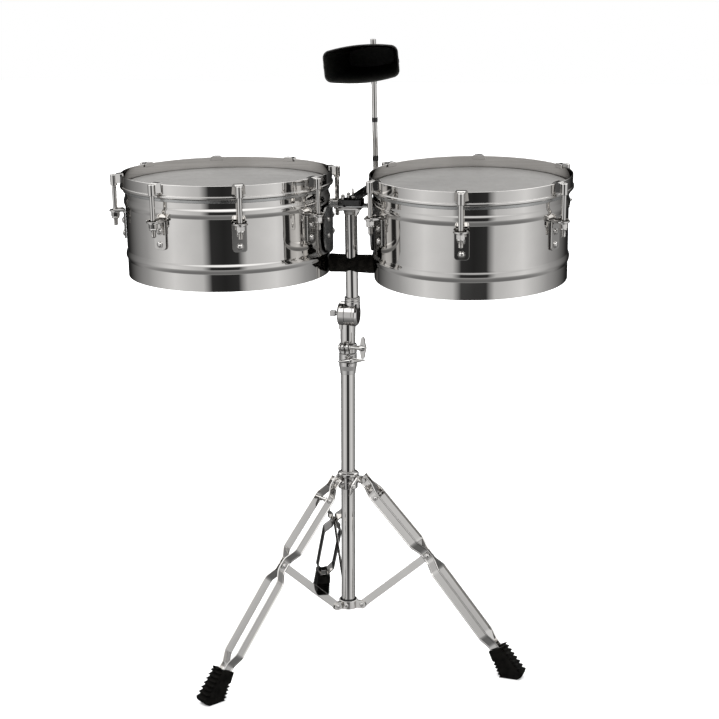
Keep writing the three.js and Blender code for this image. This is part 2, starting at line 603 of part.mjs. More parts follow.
function addPost() {
  const m = MEMORY_LOCK;
  addPart(post, "height_clamp", heightClamp(), "chrome");
  const clampBolt = wingBolt(CLAMP_BOLT, HEIGHT_CLAMP.bossEnd + 1).translate(0, 0, HEIGHT_CLAMP.boltHeight);
  addPart(facing(post, CLAMP_BOLT.azimuth), "height_wing_bolt", clampBolt, "chrome");
  addPart(post, "memory_lock", memoryLock(), "chrome");
  addPart(post, "memory_lock_wing_bolt", memoryWing().translate(0, m.screw, m.screwHeight), "chrome");
  addPart(post, "height_tube_with_tilter_base", heightTube(), "chrome");
  addPart(mast, "tilter_head", tilterUpper(), "chrome");
  addPart(post, "tilter_key_bolt", keyBolt().translate(0, 0, TILT_AXIS), "chrome");
}

// ---------------------------------------------------------------- mast and cowbell

// The upper tube with the plate that carries the drums and the bar that steadies them.
function mastFrame() {
  const m = MAST_TUBE;
  const p = TOP_PLATE;
  const b = LOW_BAR;
  const tube = ring(m.inner, m.outer, m.bottom, m.top + 1);
  const plate = box(-p.halfX, p.halfX, -p.halfY, p.halfY, m.top, m.top + p.thick);
  const spacer = box(-p.spacer, p.spacer, -p.spacer, p.spacer, m.top, TAB.bottom - GAP);
  const foot = m.top - p.gusset;
  const gusset = upright(outline([
    [m.outer - 1, m.top + 1], [m.outer - 1, foot], [m.outer, foot], [p.halfX, m.top + 1],
  ]), 2 * m.inner);
  const bar = cut(
    rodX(b.radius, b.left - MAST_X, b.right - MAST_X, 16).translate(0, 0, b.height),
    rod(m.inner + 0.2, b.height - 20, b.height + 20, 20),
  );
  return joined(cut(joined(tube, gusset), rod(m.inner, 0, m.top, 20)), plate, spacer, bar)
    .translate(MAST_X, 0, 0);
}

function foamBar() {
  const sleeve = rodX(FOAM.radius, FOAM.left, FOAM.right, 18);
  const barHole = rodX(LOW_BAR.radius + GAP, FOAM.left - 5, FOAM.right + 5, 16);
  const tubeHole = rod(MAST_TUBE.outer + GAP + 0.2, -30, 30, 20).translate(MAST_X, 0, 0);
  return cut(sleeve, barHole, tubeHole).translate(0, 0, LOW_BAR.height);
}

// A thick plate that lies on the drums' tabs, and a flat arm that rises to a block round the rod.
function cowbellArm() {
  const a = ARM;
  const top = a.bottom + a.base;
  const base = box(ARM_BASE.left, ARM_BASE.right, ARM_BASE.front, ARM_BASE.back, a.bottom, top);
  const from = new THREE.Vector3(...a.from);
  const to = new THREE.Vector3(...a.to);
  const run = new THREE.Vector3().subVectors(to, from);
  const bar = new THREE.BoxGeometry(a.width, run.length() + 8, a.thick);
  bar.rotateX(Math.atan2(run.z, Math.hypot(run.x, run.y))).rotateZ(-Math.atan2(run.x, run.y));
  bar.translate(...from.clone().add(to).divideScalar(2).toArray());
  const r = ROD_BLOCK;
  const block = box(-r.halfX, r.halfX, r.front, r.back, a.to[2] - r.below, a.to[2] + r.above)
    .translate(BELL_ROD.x, BELL_ROD.y, 0);
  const nuts = ARM_NUTS.map((n) => rod(n.radius, top - 1, top + n.tall, 10).translate(n.x, n.y, 0));
  const w = ARM_WING;
  const wing = box(w.x - w.halfX, w.x + w.halfX, -w.halfY, w.halfY, top - 1, top + w.tall);
  const bore = rod(BELL_ROD.radius + GAP, -60, 60, 16).rotateY(rad(BELL_ROD.lean))
    .translate(BELL_ROD.x, BELL_ROD.y, a.to[2]);
  return cut(joined(base, bar, block, ...nuts, wing), bore);
}

function bellRod() {
  const b = BELL_ROD;
  const rings = b.rings.map(([z0, z1]) => rod(b.radius + b.ringOut, z0, z1, 14));
  const made = joined(rod(b.radius, b.foot, b.top, 14), ...rings);
  return made.translate(0, 0, -ARM.to[2]).rotateY(rad(b.lean)).translate(b.x, b.y, ARM.to[2]);
}

// A ring of points round the bell's axis, which is -Y: upright sides, crowned top and bottom.
function bellSection(halfX, halfZ, y, corner) {
  const crown = rad(BELL.crown);
  const flat = halfX - corner;
  const inner = halfZ - corner;
  const reach = flat + corner * Math.sin(crown);
  const edge = inner + corner * Math.cos(crown);
  const peak = edge + reach * Math.tan(crown);
  const s = new THREE.Shape();
  s.moveTo(halfX, -inner);
  s.lineTo(halfX, inner);
  s.absarc(flat, inner, corner, 0, Math.PI / 2 - crown);
  s.quadraticCurveTo(0, peak, -reach, edge);
  s.absarc(-flat, inner, corner, Math.PI / 2 + crown, Math.PI);
  s.lineTo(-halfX, -inner);
  s.absarc(-flat, -inner, corner, Math.PI, 1.5 * Math.PI - crown);
  s.quadraticCurveTo(0, -peak, reach, -edge);
  s.absarc(flat, -inner, corner, 1.5 * Math.PI + crown, 2 * Math.PI);
  return s.getPoints(4).slice(0, -1).map((p) => new THREE.Vector3(p.x, y, p.y));
}

// A tapered bell, open at the player's end, with a clamp block round the rod at its heel.
function cowbell() {
  const b = BELL;
  const w = b.wall;
  const heel = b.clampFrom;
  const mouth = heel - b.length;
  const bell = lofted([
    bellSection(b.heel[0] - 4, b.heel[1] - 4, heel, b.corner * 0.6),
    bellSection(b.heel[0], b.heel[1], heel - 6, b.corner),
    bellSection(b.mouth[0], b.mouth[1], mouth, b.corner),
    bellSection(b.mouth[0] - w, b.mouth[1] - w, mouth, b.corner - w),
    bellSection(b.heel[0] - w, b.heel[1] - w, heel - 8, b.corner - w),
  ]);
  const clamp = box(-12, 12, heel - 3, 12, -11, 11);
  const wing = joined(rodX(3, 10, 22, 8), box(18, 24, -4, 4, -13, 13));
  const turn = (piece) => piece.rotateY(rad(b.roll)).rotateZ(rad(b.azimuth));
  const bore = rod(BELL_ROD.radius + GAP, -40, 40, 16).rotateY(rad(BELL_ROD.lean));
  const shift = Math.sin(rad(BELL_ROD.lean)) * (b.height - ARM.to[2]);
  const made = cut(turn(joined(bell, clamp, wing)), bore);
  return made.translate(BELL_ROD.x + shift, BELL_ROD.y, b.height);
}

function addMast() {
  addPart(mast, "mast_with_top_plate", mastFrame(), "chrome");
  addPart(mast, "bar_foam", foamBar(), "foam");
  addPart(mast, "cowbell_arm", cowbellArm(), "chrome");
  addPart(mast, "cowbell_rod", bellRod(), "chrome");
  addPart(mast, "cowbell", cowbell(), "bell");
}

addTripod();
addPost();
addMast();
addDrum("left");
addDrum("right");

// The origin is on the floor under the middle of the whole object.
timbales.updateMatrixWorld(true);
const centre = new THREE.Box3().setFromObject(timbales, true).getCenter(new THREE.Vector3());
timbales.position.set(-centre.x, -centre.y, 0);

export default timbales;
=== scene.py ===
"""The looks of a pair of chromed timbales on a folding stand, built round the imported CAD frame."""

import json
import math

import bmesh
import bpy
from mathutils import Matrix, Vector


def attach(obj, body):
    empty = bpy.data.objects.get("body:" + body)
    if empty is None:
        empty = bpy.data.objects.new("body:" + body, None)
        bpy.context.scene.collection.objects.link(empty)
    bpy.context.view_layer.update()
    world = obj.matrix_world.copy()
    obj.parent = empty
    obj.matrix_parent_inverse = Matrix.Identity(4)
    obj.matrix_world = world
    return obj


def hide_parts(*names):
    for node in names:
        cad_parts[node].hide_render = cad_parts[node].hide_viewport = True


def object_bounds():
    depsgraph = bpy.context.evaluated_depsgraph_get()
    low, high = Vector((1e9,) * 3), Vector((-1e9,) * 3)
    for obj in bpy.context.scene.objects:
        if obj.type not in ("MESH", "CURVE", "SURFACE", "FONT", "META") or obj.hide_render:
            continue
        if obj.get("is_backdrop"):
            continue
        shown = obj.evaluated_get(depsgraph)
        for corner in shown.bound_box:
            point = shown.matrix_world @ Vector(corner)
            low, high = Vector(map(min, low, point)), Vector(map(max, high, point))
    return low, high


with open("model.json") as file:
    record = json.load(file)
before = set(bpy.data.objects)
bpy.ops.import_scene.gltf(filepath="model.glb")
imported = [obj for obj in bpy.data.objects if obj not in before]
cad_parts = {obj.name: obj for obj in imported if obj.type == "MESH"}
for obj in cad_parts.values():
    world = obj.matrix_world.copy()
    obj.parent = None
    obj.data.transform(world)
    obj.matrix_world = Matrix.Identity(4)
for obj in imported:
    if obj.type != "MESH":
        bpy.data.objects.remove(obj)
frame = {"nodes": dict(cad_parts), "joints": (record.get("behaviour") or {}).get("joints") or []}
cad_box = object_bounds()

MM = 0.001
JOINTS = {joint["name"]: joint for joint in frame["joints"]}
CAMERA_FROM_POST = (0.5904, -2.458, 1.1302)
CAMERA_AZIMUTH = 13.04
CAMERA_PITCH = 12.69
CAMERA_LENS = 72.75

# ------------------------------------------------------------ driving dimensions, in millimetres

DRUMS = {
    "left": {"radius": 178, "lugs": 8, "first": 24, "bracket": 95.5, "tab": (-28, -0.5)},
    "right": {"radius": 165, "lugs": 6, "first": 4, "bracket": -95.5, "tab": (1.5, 49.5)},
}
SHELL = {"top": -20.7, "bottom": -178, "sheet": 1.6, "beads": [(-149, -130.5), (-57, -38)], "stand": 2.5}
ROD_OFFSET = 17.5
BRACKET = {
    "stand": 3.2, "thick": 3.4, "top": -57, "foot": -140, "half": 42, "rows": (-80, -109), "bolt": 25.5,
}

HUB_PIVOT = (31.9, 340.8)
KNEE = (151.7, 209.8)
ANKLE = (282, 50)
COLLAR_PIVOT = (27.1, 100.2)
STRIP = {"width": 18, "thick": 2.6, "spread": 16.5, "ramp": 20, "land": 11, "end": 7.5, "foot_end": 24}
BRACE = {"width": 14, "thick": 2.5}
FOOT = {"toe": (335, 14), "outer": (298, 59.5), "inner": (271, 46), "collar": (278, 29), "heel": (291, 0)}

BASE_TUBE = {"outer": 12.7, "inner": 11.5, "bottom": 93, "top": 570}
COLLAR = {"outer": 17, "bottom": 92, "top": 107.6}
HUB_BOLT_HEIGHT = 333
LOCK = {"bottom": 574.2, "top": 590.4, "screw": -21}
MAST_X = 8.5
TILTER = {"radius": 22.3, "left": -15.8, "seam": -3.2, "right": 11.2}
PLATE = {"bottom": 189.2, "top": 191.7, "x": 21, "y": 18}
TAB = (193.4, 195.9)
ARM = {"bottom": 196.3, "top": 205.3, "start": (11, 10, 204), "end": (35.2, 70, 219)}
ARM_BASE = [(-12, -14), (30, -14), (30, 16), (-12, 16)]
ROD_BLOCK = {"x": (24.6, 46.6), "y": (68.8, 93.8), "z": (209, 231), "screw": (46.6, 82.8, 220)}
ROD = {"radius": 4.75, "bottom": 202, "top": 470.5, "stops": [(260, 269), (328, 336)]}
BAR_HEIGHT = 92
BELL = {
    "mouth": (62, 26), "heel": (40, 15), "length": 150, "wall": 2, "height": 442,
    "azimuth": 5.3, "roll": -4.2, "corner": 12, "crown": 11,
}

# ------------------------------------------------------------ frames


def frame_at(origin, up, side=(1, 0, 0)):
    """A frame of millimetres at origin: its +Z is up, and its +X is as near to side as it can be."""
    z = Vector(up).normalized()
    y = z.cross(Vector(side)).normalized()
    placed = Matrix((y.cross(z), y, z)).transposed().to_4x4()
    placed.translation = origin
    return placed @ Matrix.Scale(MM, 4)


def move(x=0, y=0, z=0):
    return Matrix.Translation((x, y, z))


def turn(degrees, axis):
    return Matrix.Rotation(math.radians(degrees), 4, axis)


def drum_frame(side):
    """At the centre of the hoop's top edge, with +Z along the drum's own axis."""
    up = Vector(JOINTS[side + "_tuning_slide"]["axis"]).normalized()
    points = [vertex.co for vertex in frame["nodes"][side + "_hoop"].data.vertices]
    centre = sum(points, Vector()) / len(points)
    return frame_at(centre + up * max((point - centre).dot(up) for point in points), up)


post_x, post_y, _ = JOINTS["post_swivel"]["pos_m"]
POST = frame_at((post_x, post_y, 0), (0, 0, 1))
MAST = frame_at(JOINTS["drum_tilt"]["pos_m"], JOINTS["bell_arm_swivel"]["axis"])
BELL_FRAME = frame_at(JOINTS["bell_turn"]["pos_m"], JOINTS["bell_turn"]["axis"])
DRUM = {side: drum_frame(side) for side in DRUMS}
TILT_HEIGHT = JOINTS["drum_tilt"]["pos_m"][2] / MM


def outward(joint, lateral=True):
    """The post's frame turned so that +X points outwards, to a leg by its hinge or along a bolt's axis."""
    x, y, _ = JOINTS[joint]["axis"]
    return POST @ Matrix.Rotation(math.atan2(-x, y) if lateral else math.atan2(y, x), 4, "Z")


# ------------------------------------------------------------ solids


def rounded(points, radius=0.5, steps=3):
    """A closed outline with its corners turned into arcs. A point's third number is its own radius."""
    made = []
    for i, point in enumerate(points):
        corner = Vector(point[:2])
        back = Vector(points[i - 1][:2]) - corner
        ahead = Vector(points[(i + 1) % len(points)][:2]) - corner
        size = point[2] if len(point) > 2 else radius
        half = back.angle(ahead) / 2
        if size <= 0 or half > math.radians(88):
            made.append(tuple(corner))
            continue
        reach = min(size / math.tan(half), 0.49 * min(back.length, ahead.length))
        size = reach * math.tan(half)
        middle = corner + (back.normalized() + ahead.normalized()).normalized() * (size / math.sin(half))
        start = corner + back.normalized() * reach - middle
        end = corner + ahead.normalized() * reach - middle
        first = math.atan2(start.y, start.x)
        sweep = (math.atan2(end.y, end.x) - first + math.pi) % (2 * math.pi) - math.pi
        for k in range(steps + 1):
            angle = first + sweep * k / steps
            made.append((middle.x + size * math.cos(angle), middle.y + size * math.sin(angle)))
    return made


def rings_to_solid(rings, closed=False):
    """Joins rings of points by quads. A ring of one point is a pole, and open ends get a flat face."""
    solid = bmesh.new()
    rings = [[solid.verts.new(point) for point in ring] for ring in rings]
    for a, b in zip(rings, rings[1:] + (rings[:1] if closed else [])):
        count = max(len(a), len(b))
        for k in range(count):
            j = (k + 1) % count
            face = [a[k % len(a)], a[j % len(a)], b[j % len(b)], b[k % len(b)]]
            face = list(dict.fromkeys(face))
            if len(face) > 2:
                solid.faces.new(face)
    if not closed:
        for ring in (rings[0], rings[-1]):
            if len(ring) > 2:
                solid.faces.new(ring)
    bmesh.ops.recalc_face_normals(solid, faces=solid.faces)
    return solid


def lathe(profile, sides=48):
    """A solid turned about Z from (radius, height) points that form a loop, or start and end on Z."""
    rings = []
    for radius, height in profile:
        angles = [2 * math.pi * k / sides for k in range(sides if radius > 1e-6 else 1)]
        rings.append([(radius * math.cos(a), radius * math.sin(a), height) for a in angles])
    return rings_to_solid(rings, closed=profile[0][0] > 1e-6)


def disc(radius, low, high, edge=0.5, sides=48):
    """A turned disc or rod with eased edges."""
    return lathe(rounded([(0, low, 0), (radius, low, edge), (radius, high, edge), (0, high, 0)]), sides)


def collar(inner, outer, low, high, edge=0.4, sides=64):
    """A turned ring or tube with eased edges."""
    return lathe(rounded([(inner, low), (outer, low), (outer, high), (inner, high)], edge), sides)


def prism(outline, low, high):
    """An outline in X and Y made solid between two heights."""
    return rings_to_solid([[(x, y, z) for x, y in outline] for z in (low, high)])


def eased(solid, width, segments=2, angle=30):
    """Rounds the sharp edges of a solid."""
    sharp = [e for e in solid.edges if len(e.link_faces) == 2 and e.calc_face_angle(0) > math.radians(angle)]
    bmesh.ops.bevel(
        solid, geom=sharp, offset=width, offset_type="OFFSET", segments=segments,
        profile=0.5, affect="EDGES", clamp_overlap=True,
    )
    return solid


def block(x, y, z, edge=0.8):
    """A box with eased edges, from its (low, high) in X, Y and Z."""
    outline = [(x[0], y[0]), (x[1], y[0]), (x[1], y[1]), (x[0], y[1])]
    return eased(prism(outline, *z), edge)


def placed(solid, matrix):
    bmesh.ops.transform(solid, matrix=matrix, verts=solid.verts)
    if matrix.determinant() < 0:
        bmesh.ops.reverse_faces(solid, faces=solid.faces)
    return solid


def merged(*solids):
    whole = bmesh.new()
    for solid in solids:
        mesh = bpy.data.meshes.new("part")
        solid.to_mesh(mesh)
        solid.free()
        whole.from_mesh(mesh)
        bpy.data.meshes.remove(mesh)
    return whole


def along_x(solid):
    """Lays a solid made along Z along X."""
    return placed(solid, turn(90, "Y"))


def along_y(solid):
    return placed(solid, turn(-90, "X"))


# Carries X to Y, Y to Z and Z to X, so an outline in X and Y stands facing along X.
FACING_X = Matrix(((0, 0, 1, 0), (1, 0, 0, 0), (0, 1, 0, 0), (0, 0, 0, 1)))


def upright(outline, low, high):
    """An outline in X and Z made solid between two places on Y."""
    return placed(prism([(x, -z) for x, z in outline], low, high), turn(-90, "X"))


def swept(path, section):
    """A bar along a level path of (x, y) points; its section is given as (sideways, height)."""
    rings = []
    for i, point in enumerate(path):
        here = Vector(point)
        before = (here - Vector(path[max(i - 1, 0)])).normalized()
        after = (Vector(path[min(i + 1, len(path) - 1)]) - here).normalized()
        ahead = (before + after).normalized()
        mitre = 1 / max(ahead.dot(after if after.length else before), 0.5)
        side = Vector((-ahead.y, ahead.x)) * mitre
        rings.append([(here.x + side.x * s, here.y + side.y * s, h) for s, h in section])
    return rings_to_solid(rings)


def dome(radius, height, steps=6):
    """A round screw head standing on Z = 0, on a thin washer."""
    angles = [math.pi / 2 * k / steps for k in range(steps)]
    arc = [(radius * math.cos(t), height * math.sin(t)) for t in angles]
    washer = disc(radius + 1.2, -0.8, 0.3, 0.3, 32)
    return merged(washer, lathe([(0, -0.5), (radius, -0.5)] + arc + [(0, height)], 32))


def hexagon(across, low, high):
    """A hexagonal nut with its corners turned off."""
    corners = [math.radians(60 * k) for k in range(6)]
    return eased(prism([(across * math.cos(a), across * math.sin(a)) for a in corners], low, high), 0.6)


def threaded(radius, low, high, pitch=1.25, depth=0.5, sides=20):
    """A rod with a screw thread's ridges, pointed at its low end."""
    root = radius - depth
    profile = [(0, low), (radius - 1.2, low), (root, low + 1)]
    for k in range(int((high - low - 1.5) / pitch)):
        z = low + 1.2 + k * pitch
        profile += [(radius, z + 0.35 * pitch), (radius, z + 0.55 * pitch), (root, z + 0.95 * pitch)]
    return lathe(profile + [(root, high), (0, high)], sides)


# ------------------------------------------------------------ materials


class Surface:
    """A material with short ways to add procedural detail in the object's own coordinates."""

    def __init__(self, name, colour, roughness, metallic=0.0, **sockets):
        self.material = bpy.data.materials.new(name)
        self.material.use_nodes = True
        self.nodes = self.material.node_tree.nodes
        self.links = self.material.node_tree.links
        self.shader = self.nodes["Principled BSDF"]
        self.shader.inputs["Base Color"].default_value = (*colour, 1)
        self.shader.inputs["Roughness"].default_value = roughness
        self.shader.inputs["Metallic"].default_value = metallic
        for socket, value in sockets.items():
            self.shader.inputs[socket.replace("_", " ")].default_value = value
        self.place = self.nodes.new("ShaderNodeTexCoord").outputs["Object"]

    def noise(self, scale, detail=4, stretch=(1, 1, 1)):
        mapping = self.nodes.new("ShaderNodeMapping")
        mapping.inputs["Scale"].default_value = stretch
        self.links.new(self.place, mapping.inputs["Vector"])
        texture = self.nodes.new("ShaderNodeTexNoise")
        texture.inputs["Scale"].default_value = scale
        texture.inputs["Detail"].default_value = detail
        self.links.new(mapping.outputs["Vector"], texture.inputs["Vector"])
        return texture.outputs["Fac"]

    def cells(self, scale):
        texture = self.nodes.new("ShaderNodeTexVoronoi")
        texture.inputs["Scale"].default_value = scale
        self.links.new(self.place, texture.inputs["Vector"])
        return texture.outputs["Distance"]

    def ranged(self, value, low, high, start=0.35, end=0.65):
        node = self.nodes.new("ShaderNodeMapRange")
        for socket, number in (("From Min", start), ("From Max", end), ("To Min", low), ("To Max", high)):
            node.inputs[socket].default_value = number
        self.links.new(value, node.inputs["Value"])
        return node.outputs["Result"]

    def mottle(self, value, dark, light):
        ramp = self.nodes.new("ShaderNodeValToRGB")
        ramp.color_ramp.elements[0].position = 0.35
        ramp.color_ramp.elements[1].position = 0.65
        ramp.color_ramp.elements[0].color = (*dark, 1)
        ramp.color_ramp.elements[1].color = (*light, 1)
        self.links.new(value, ramp.inputs["Fac"])
        self.links.new(ramp.outputs["Color"], self.shader.inputs["Base Color"])

    def rough(self, value, low, high):
        self.links.new(self.ranged(value, low, high), self.shader.inputs["Roughness"])

    def bump(self, value, strength, distance):
        node = self.nodes.new("ShaderNodeBump")
        node.inputs["Strength"].default_value = strength
        node.inputs["Distance"].default_value = distance
        self.links.new(value, node.inputs["Height"])
        self.links.new(node.outputs["Normal"], self.shader.inputs["Normal"])


def plated(name, light, dark, rough_low, rough_high, ripple):
    """Chrome plate: a mirror with faint smudges and the slight unevenness of polished sheet. Its low specular
    tint dims the reflection at grazing angles, which paints dark outlines along edges and rims.
    """
    surface = Surface(name, light, rough_low, 1.0, Specular_Tint=(0.12, 0.12, 0.12, 1))
    surface.mottle(surface.noise(22, 5), dark, light)
    surface.rough(surface.noise(60, 6), rough_low, rough_high)
    surface.bump(surface.noise(9, 2), ripple, 0.002)
    return surface.material


def head_film():
    surface = Surface("frosted_film", (0.145, 0.141, 0.136), 0.5, Specular_IOR_Level=0.3)
    surface.mottle(surface.noise(14, 6), (0.14, 0.136, 0.131), (0.15, 0.146, 0.14))
    surface.rough(surface.noise(35, 5), 0.42, 0.6)
    surface.bump(surface.noise(2600, 2), 0.25, 0.0002)
    return surface.material


def rubber():
    surface = Surface("moulded_rubber", (0.003, 0.0028, 0.0025), 0.7, Specular_IOR_Level=0.04)
    surface.mottle(surface.noise(90, 5), (0.0018, 0.0017, 0.0015), (0.005, 0.0046, 0.004))
    surface.rough(surface.noise(140, 4), 0.5, 0.8)
    surface.bump(surface.noise(900, 3), 0.35, 0.0004)
    return surface.material


def foam_rubber():
    surface = Surface("closed_cell_foam", (0.0035, 0.003, 0.0025), 0.95, Specular_IOR_Level=0.03)
    surface.mottle(surface.noise(120, 6), (0.0018, 0.0016, 0.0013), (0.0065, 0.0058, 0.0048))
    surface.rough(surface.noise(200, 3), 0.85, 1.0)
    surface.bump(surface.cells(700), 0.6, 0.0006)
    return surface.material


def black_powder_coat():
    surface = Surface("black_powder_coat", (0.011, 0.011, 0.01), 0.5, Specular_IOR_Level=0.35)
    surface.mottle(surface.noise(260, 5), (0.008, 0.008, 0.007), (0.018, 0.018, 0.016))
    surface.rough(surface.noise(420, 4), 0.42, 0.62)
    surface.bump(surface.noise(1500, 3), 0.3, 0.0003)
    return surface.material


MIRROR = plated("polished_chrome", (0.83, 0.812, 0.79), (0.79, 0.773, 0.752), 0.01, 0.04, 0.02)
CASTING = plated("plated_casting", (0.77, 0.755, 0.737), (0.66, 0.647, 0.632), 0.05, 0.14, 0.05)
SATIN = plated("satin_plate", (0.6, 0.605, 0.6), (0.5, 0.505, 0.5), 0.24, 0.36, 0.06)
# Dark metal for the bolt, the rod stops and the bushing. On the chromed cowbell arm the same dark colour is
# painted reflection, standing for the dark surroundings it mirrors.
DARK_METAL_AND_PAINTED_REFLECTION = plated("dark_metal_and_painted_reflection", (0.1, 0.1, 0.1), (0.06, 0.06, 0.06), 0.15, 0.3, 0.05)
INSIDE = plated("unpolished_inside", (0.62, 0.62, 0.62), (0.5, 0.5, 0.5), 0.22, 0.38, 0.06)
FILM = head_film()
RUBBER = rubber()
FOAM = foam_rubber()
COAT = black_powder_coat()

# ------------------------------------------------------------ pieces


def piece(name, solid, place, material, body, slot, *nodes, sharp=38):
    """Makes a named piece from a solid in millimetres, rides it on its body and retires the CAD nodes."""
    mesh = bpy.data.meshes.new(name)
    placed(solid, place).to_mesh(mesh)
    solid.free()
    mesh.shade_smooth()
    mesh.set_sharp_from_angle(angle=math.radians(sharp))
    mesh.materials.append(material)
    made = bpy.data.objects.new(name, mesh)
    bpy.context.scene.collection.objects.link(made)
    weighted = made.modifiers.new("even_flats", "WEIGHTED_NORMAL")
    weighted.keep_sharp = True
    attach(made, body)
    if nodes:
        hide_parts(*nodes)
    return made


# ------------------------------------------------------------ drums


def bead(radius, foot, top, steps=16):
    """A rolled bead in a shell's wall, from its foot to its top."""
    for k in range(steps + 1):
        t = k / steps
        yield (radius + SHELL["stand"] * math.sin(math.pi * t) ** 1.3, foot + (top - foot) * t, 0)


def drum_shell(side, radius):
    s = SHELL
    wall = [point for foot, top in s["beads"] for point in bead(radius, foot, top)]
    wall = [(radius, s["bottom"], 0.7), *wall, (radius, s["top"], 0.7)]
    inside = [(r - s["sheet"], z, edge) for r, z, edge in reversed(wall)]
    made = piece(side + "_spun_shell", lathe(rounded(wall + inside), 256), DRUM[side], MIRROR,
                 "mast", "chrome", side + "_shell", sharp=60)
    made.data.materials.append(INSIDE)
    up = DRUM[side].to_3x3() @ Vector((0, 0, 1))
    centre = DRUM[side].translation
    for face in made.data.polygons:
        out = (face.center - centre) - up * (face.center - centre).dot(up) / up.length_squared
        if face.normal.dot(out) < 0:
            face.material_index = 1


def drum_hoop(side, radius):
    r = radius
    profile = rounded([
        (r + 3.8, 0, 0.9), (r + 6.3, 0, 1.1), (r + 6.3, -18.2, 0.6), (r + 7.9, -19, 1.3),
        (r + 7.9, -23.7, 1.8), (r + 1.6, -23.7, 0.6), (r + 1.6, -21.7, 0.6), (r + 3.8, -21.7, 0.8),
    ], steps=4)
    piece(side + "_counter_hoop", lathe(profile, 256), DRUM[side], MIRROR,
          side + "_tuning", "chrome", side + "_hoop", sharp=60)


def drum_head(side, radius):
    r = radius
    film = rounded([(0, -19.5, 0), (r - 1, -19.5, 4), (r + 1.3, -20, 0.8), (r + 1.3, -24.4, 0.2),
                    (r + 0.6, -24.4, 0.2), (r + 0.6, -20.5, 0.4), (0, -20.3, 0)])
    piece(side + "_drumhead", lathe(film, 192), DRUM[side], FILM, "mast", "drum_head", side + "_head")
    ring = collar(r + 0.5, r + 3, -29.5, -24.3, 0.7, 192)
    piece(side + "_head_ring", ring, DRUM[side], SATIN, "mast", "chrome")


def tension_hook(side, radius, number, azimuth):
    """A claw over the hoop that narrows to a round boss, and the threaded tension rod."""
    at = radius + ROD_OFFSET
    lip_in, lip_out, wall_in = radius + 0.8, radius + 2.8, radius + 6.7
    outline = rounded([
        (lip_in, 2.2, 1.2), (lip_in, -6, 0.9), (lip_out, -6, 0.9), (lip_out, 0.4, 0.5), (wall_in, 0.4, 0.6),
        (wall_in, -14, 0.6), (at - 3, -14, 1), (at - 3, 0.4, 2), (wall_in + 3, 2.2, 1.5),
    ], steps=4)
    claw = upright(outline, -11.5, 11.5)
    for vertex in claw.verts:
        outer = max(0.0, (vertex.co.x - wall_in - 1) / (at - 4 - wall_in))
        arch = max(0.0, vertex.co.z + 5) / 7.2
        vertex.co.y *= (1 - 0.42 * min(outer, 1)) * (1 - 0.3 * arch ** 2)
    claw = eased(claw, 1.0, 2, 50)
    boss = lathe(rounded([
        (0, -18.5, 0), (6.1, -18.5, 0.8), (6.1, 0.4, 2.4), (3.4, 0.9, 0.3), (3.4, -0.6, 0.2), (0, -0.6, 0),
    ], steps=5), 40)
    slot = placed(hexagon(3.1, -0.7, 0.2), move(at))
    stem = placed(merged(disc(4.1, -62, -15, 0.2, 24), threaded(4.1, -88, -61)), move(at))
    piece(f"{side}_claw_and_rod_{number}", merged(claw, placed(boss, move(at)), slot, stem),
          DRUM[side] @ turn(azimuth - 90, "Z"), MIRROR, side + "_tuning", "chrome",
          f"{side}_tension_hook_{number}")


def tube_lug(side, radius, number, azimuth):
    """A lug: plate, shelf with a round nose, tuning nut and two dome-headed screws."""
    face = radius + 0.6
    at = radius + ROD_OFFSET
    half = 12.5
    plate = rounded([(-half, -111), (half, -111), (half, -60.5), (-half, -60.5)], 6, 5)
    plate = placed(eased(prism(plate, 0, 3), 0.8, 2, 50), move(face) @ FACING_X)
    nose = [(at - 2 + half * math.sin(t), -half * math.cos(t)) for t in (math.pi * k / 14 for k in range(15))]
    shelf = eased(prism([(face, -half), *nose, (face, half)], -63.5, -60.5), 0.8, 2, 50)
    web = upright([(face + 2.5, -63), (face + 8, -63), (face + 4.2, -64.5), (face + 2.5, -69)], -8, 8)
    lips = [placed(along_x(disc(1.5, face + 2, at + 4, 0.7, 16)), move(0, y, -60))
            for y in (half - 1.7, 1.7 - half)]
    nut = placed(merged(disc(8, -65.5, -63.3, 0.4, 32), hexagon(7.8, -72.5, -65), disc(7, -76, -72, 1.6, 32)),
                 move(at))
    screws = [placed(dome(5, 3), move(face + 3.6, 0, z) @ turn(90, "Y")) for z in (-80, -102)]
    piece(f"{side}_tuning_lug_{number}", merged(plate, shelf, web, nut, *lips, *screws),
          DRUM[side] @ turn(azimuth - 90, "Z"), MIRROR, "mast", "chrome", f"{side}_lug_{number}")


def curved_plate(radius, thick, half, low, high, corner_low, corner_high, columns=40, rows=10):
    """A plate with round corners wrapped on a cylinder about Z, its middle at +X."""
    def limits(s):
        def drop(corner):
            over = max(0.0, abs(s) - (half - corner))
            return corner - math.sqrt(max(corner * corner - over * over, 0))
        return low + drop(corner_low), high - drop(corner_high)
    grid = []
    for depth in (0, thick):
        sheet = []
        for i in range(columns + 1):
            s = half * math.sin(math.pi * (i / columns - 0.5))
            z0, z1 = limits(s)
            angle = s / radius
            sheet.append([((radius + depth) * math.cos(angle), (radius + depth) * math.sin(angle),
                           z0 + (z1 - z0) * j / rows) for j in range(rows + 1)])
        grid.append(sheet)
    solid = bmesh.new()
    made = [[[solid.verts.new(p) for p in column] for column in sheet] for sheet in grid]
    for sheet in made:
        for a, b in zip(sheet, sheet[1:]):
            for j in range(rows):
                solid.faces.new((a[j], b[j], b[j + 1], a[j + 1]))
    rim = [(i, 0) for i in range(columns)] + [(columns, j) for j in range(rows)]
    rim += [(i, rows) for i in range(columns, 0, -1)] + [(0, j) for j in range(rows, 0, -1)]
    for (i, j), (k, m) in zip(rim, rim[1:] + rim[:1]):
        solid.faces.new((made[0][i][j], made[0][k][m], made[1][k][m], made[1][i][j]))
    bmesh.ops.recalc_face_normals(solid, faces=solid.faces)
    return solid


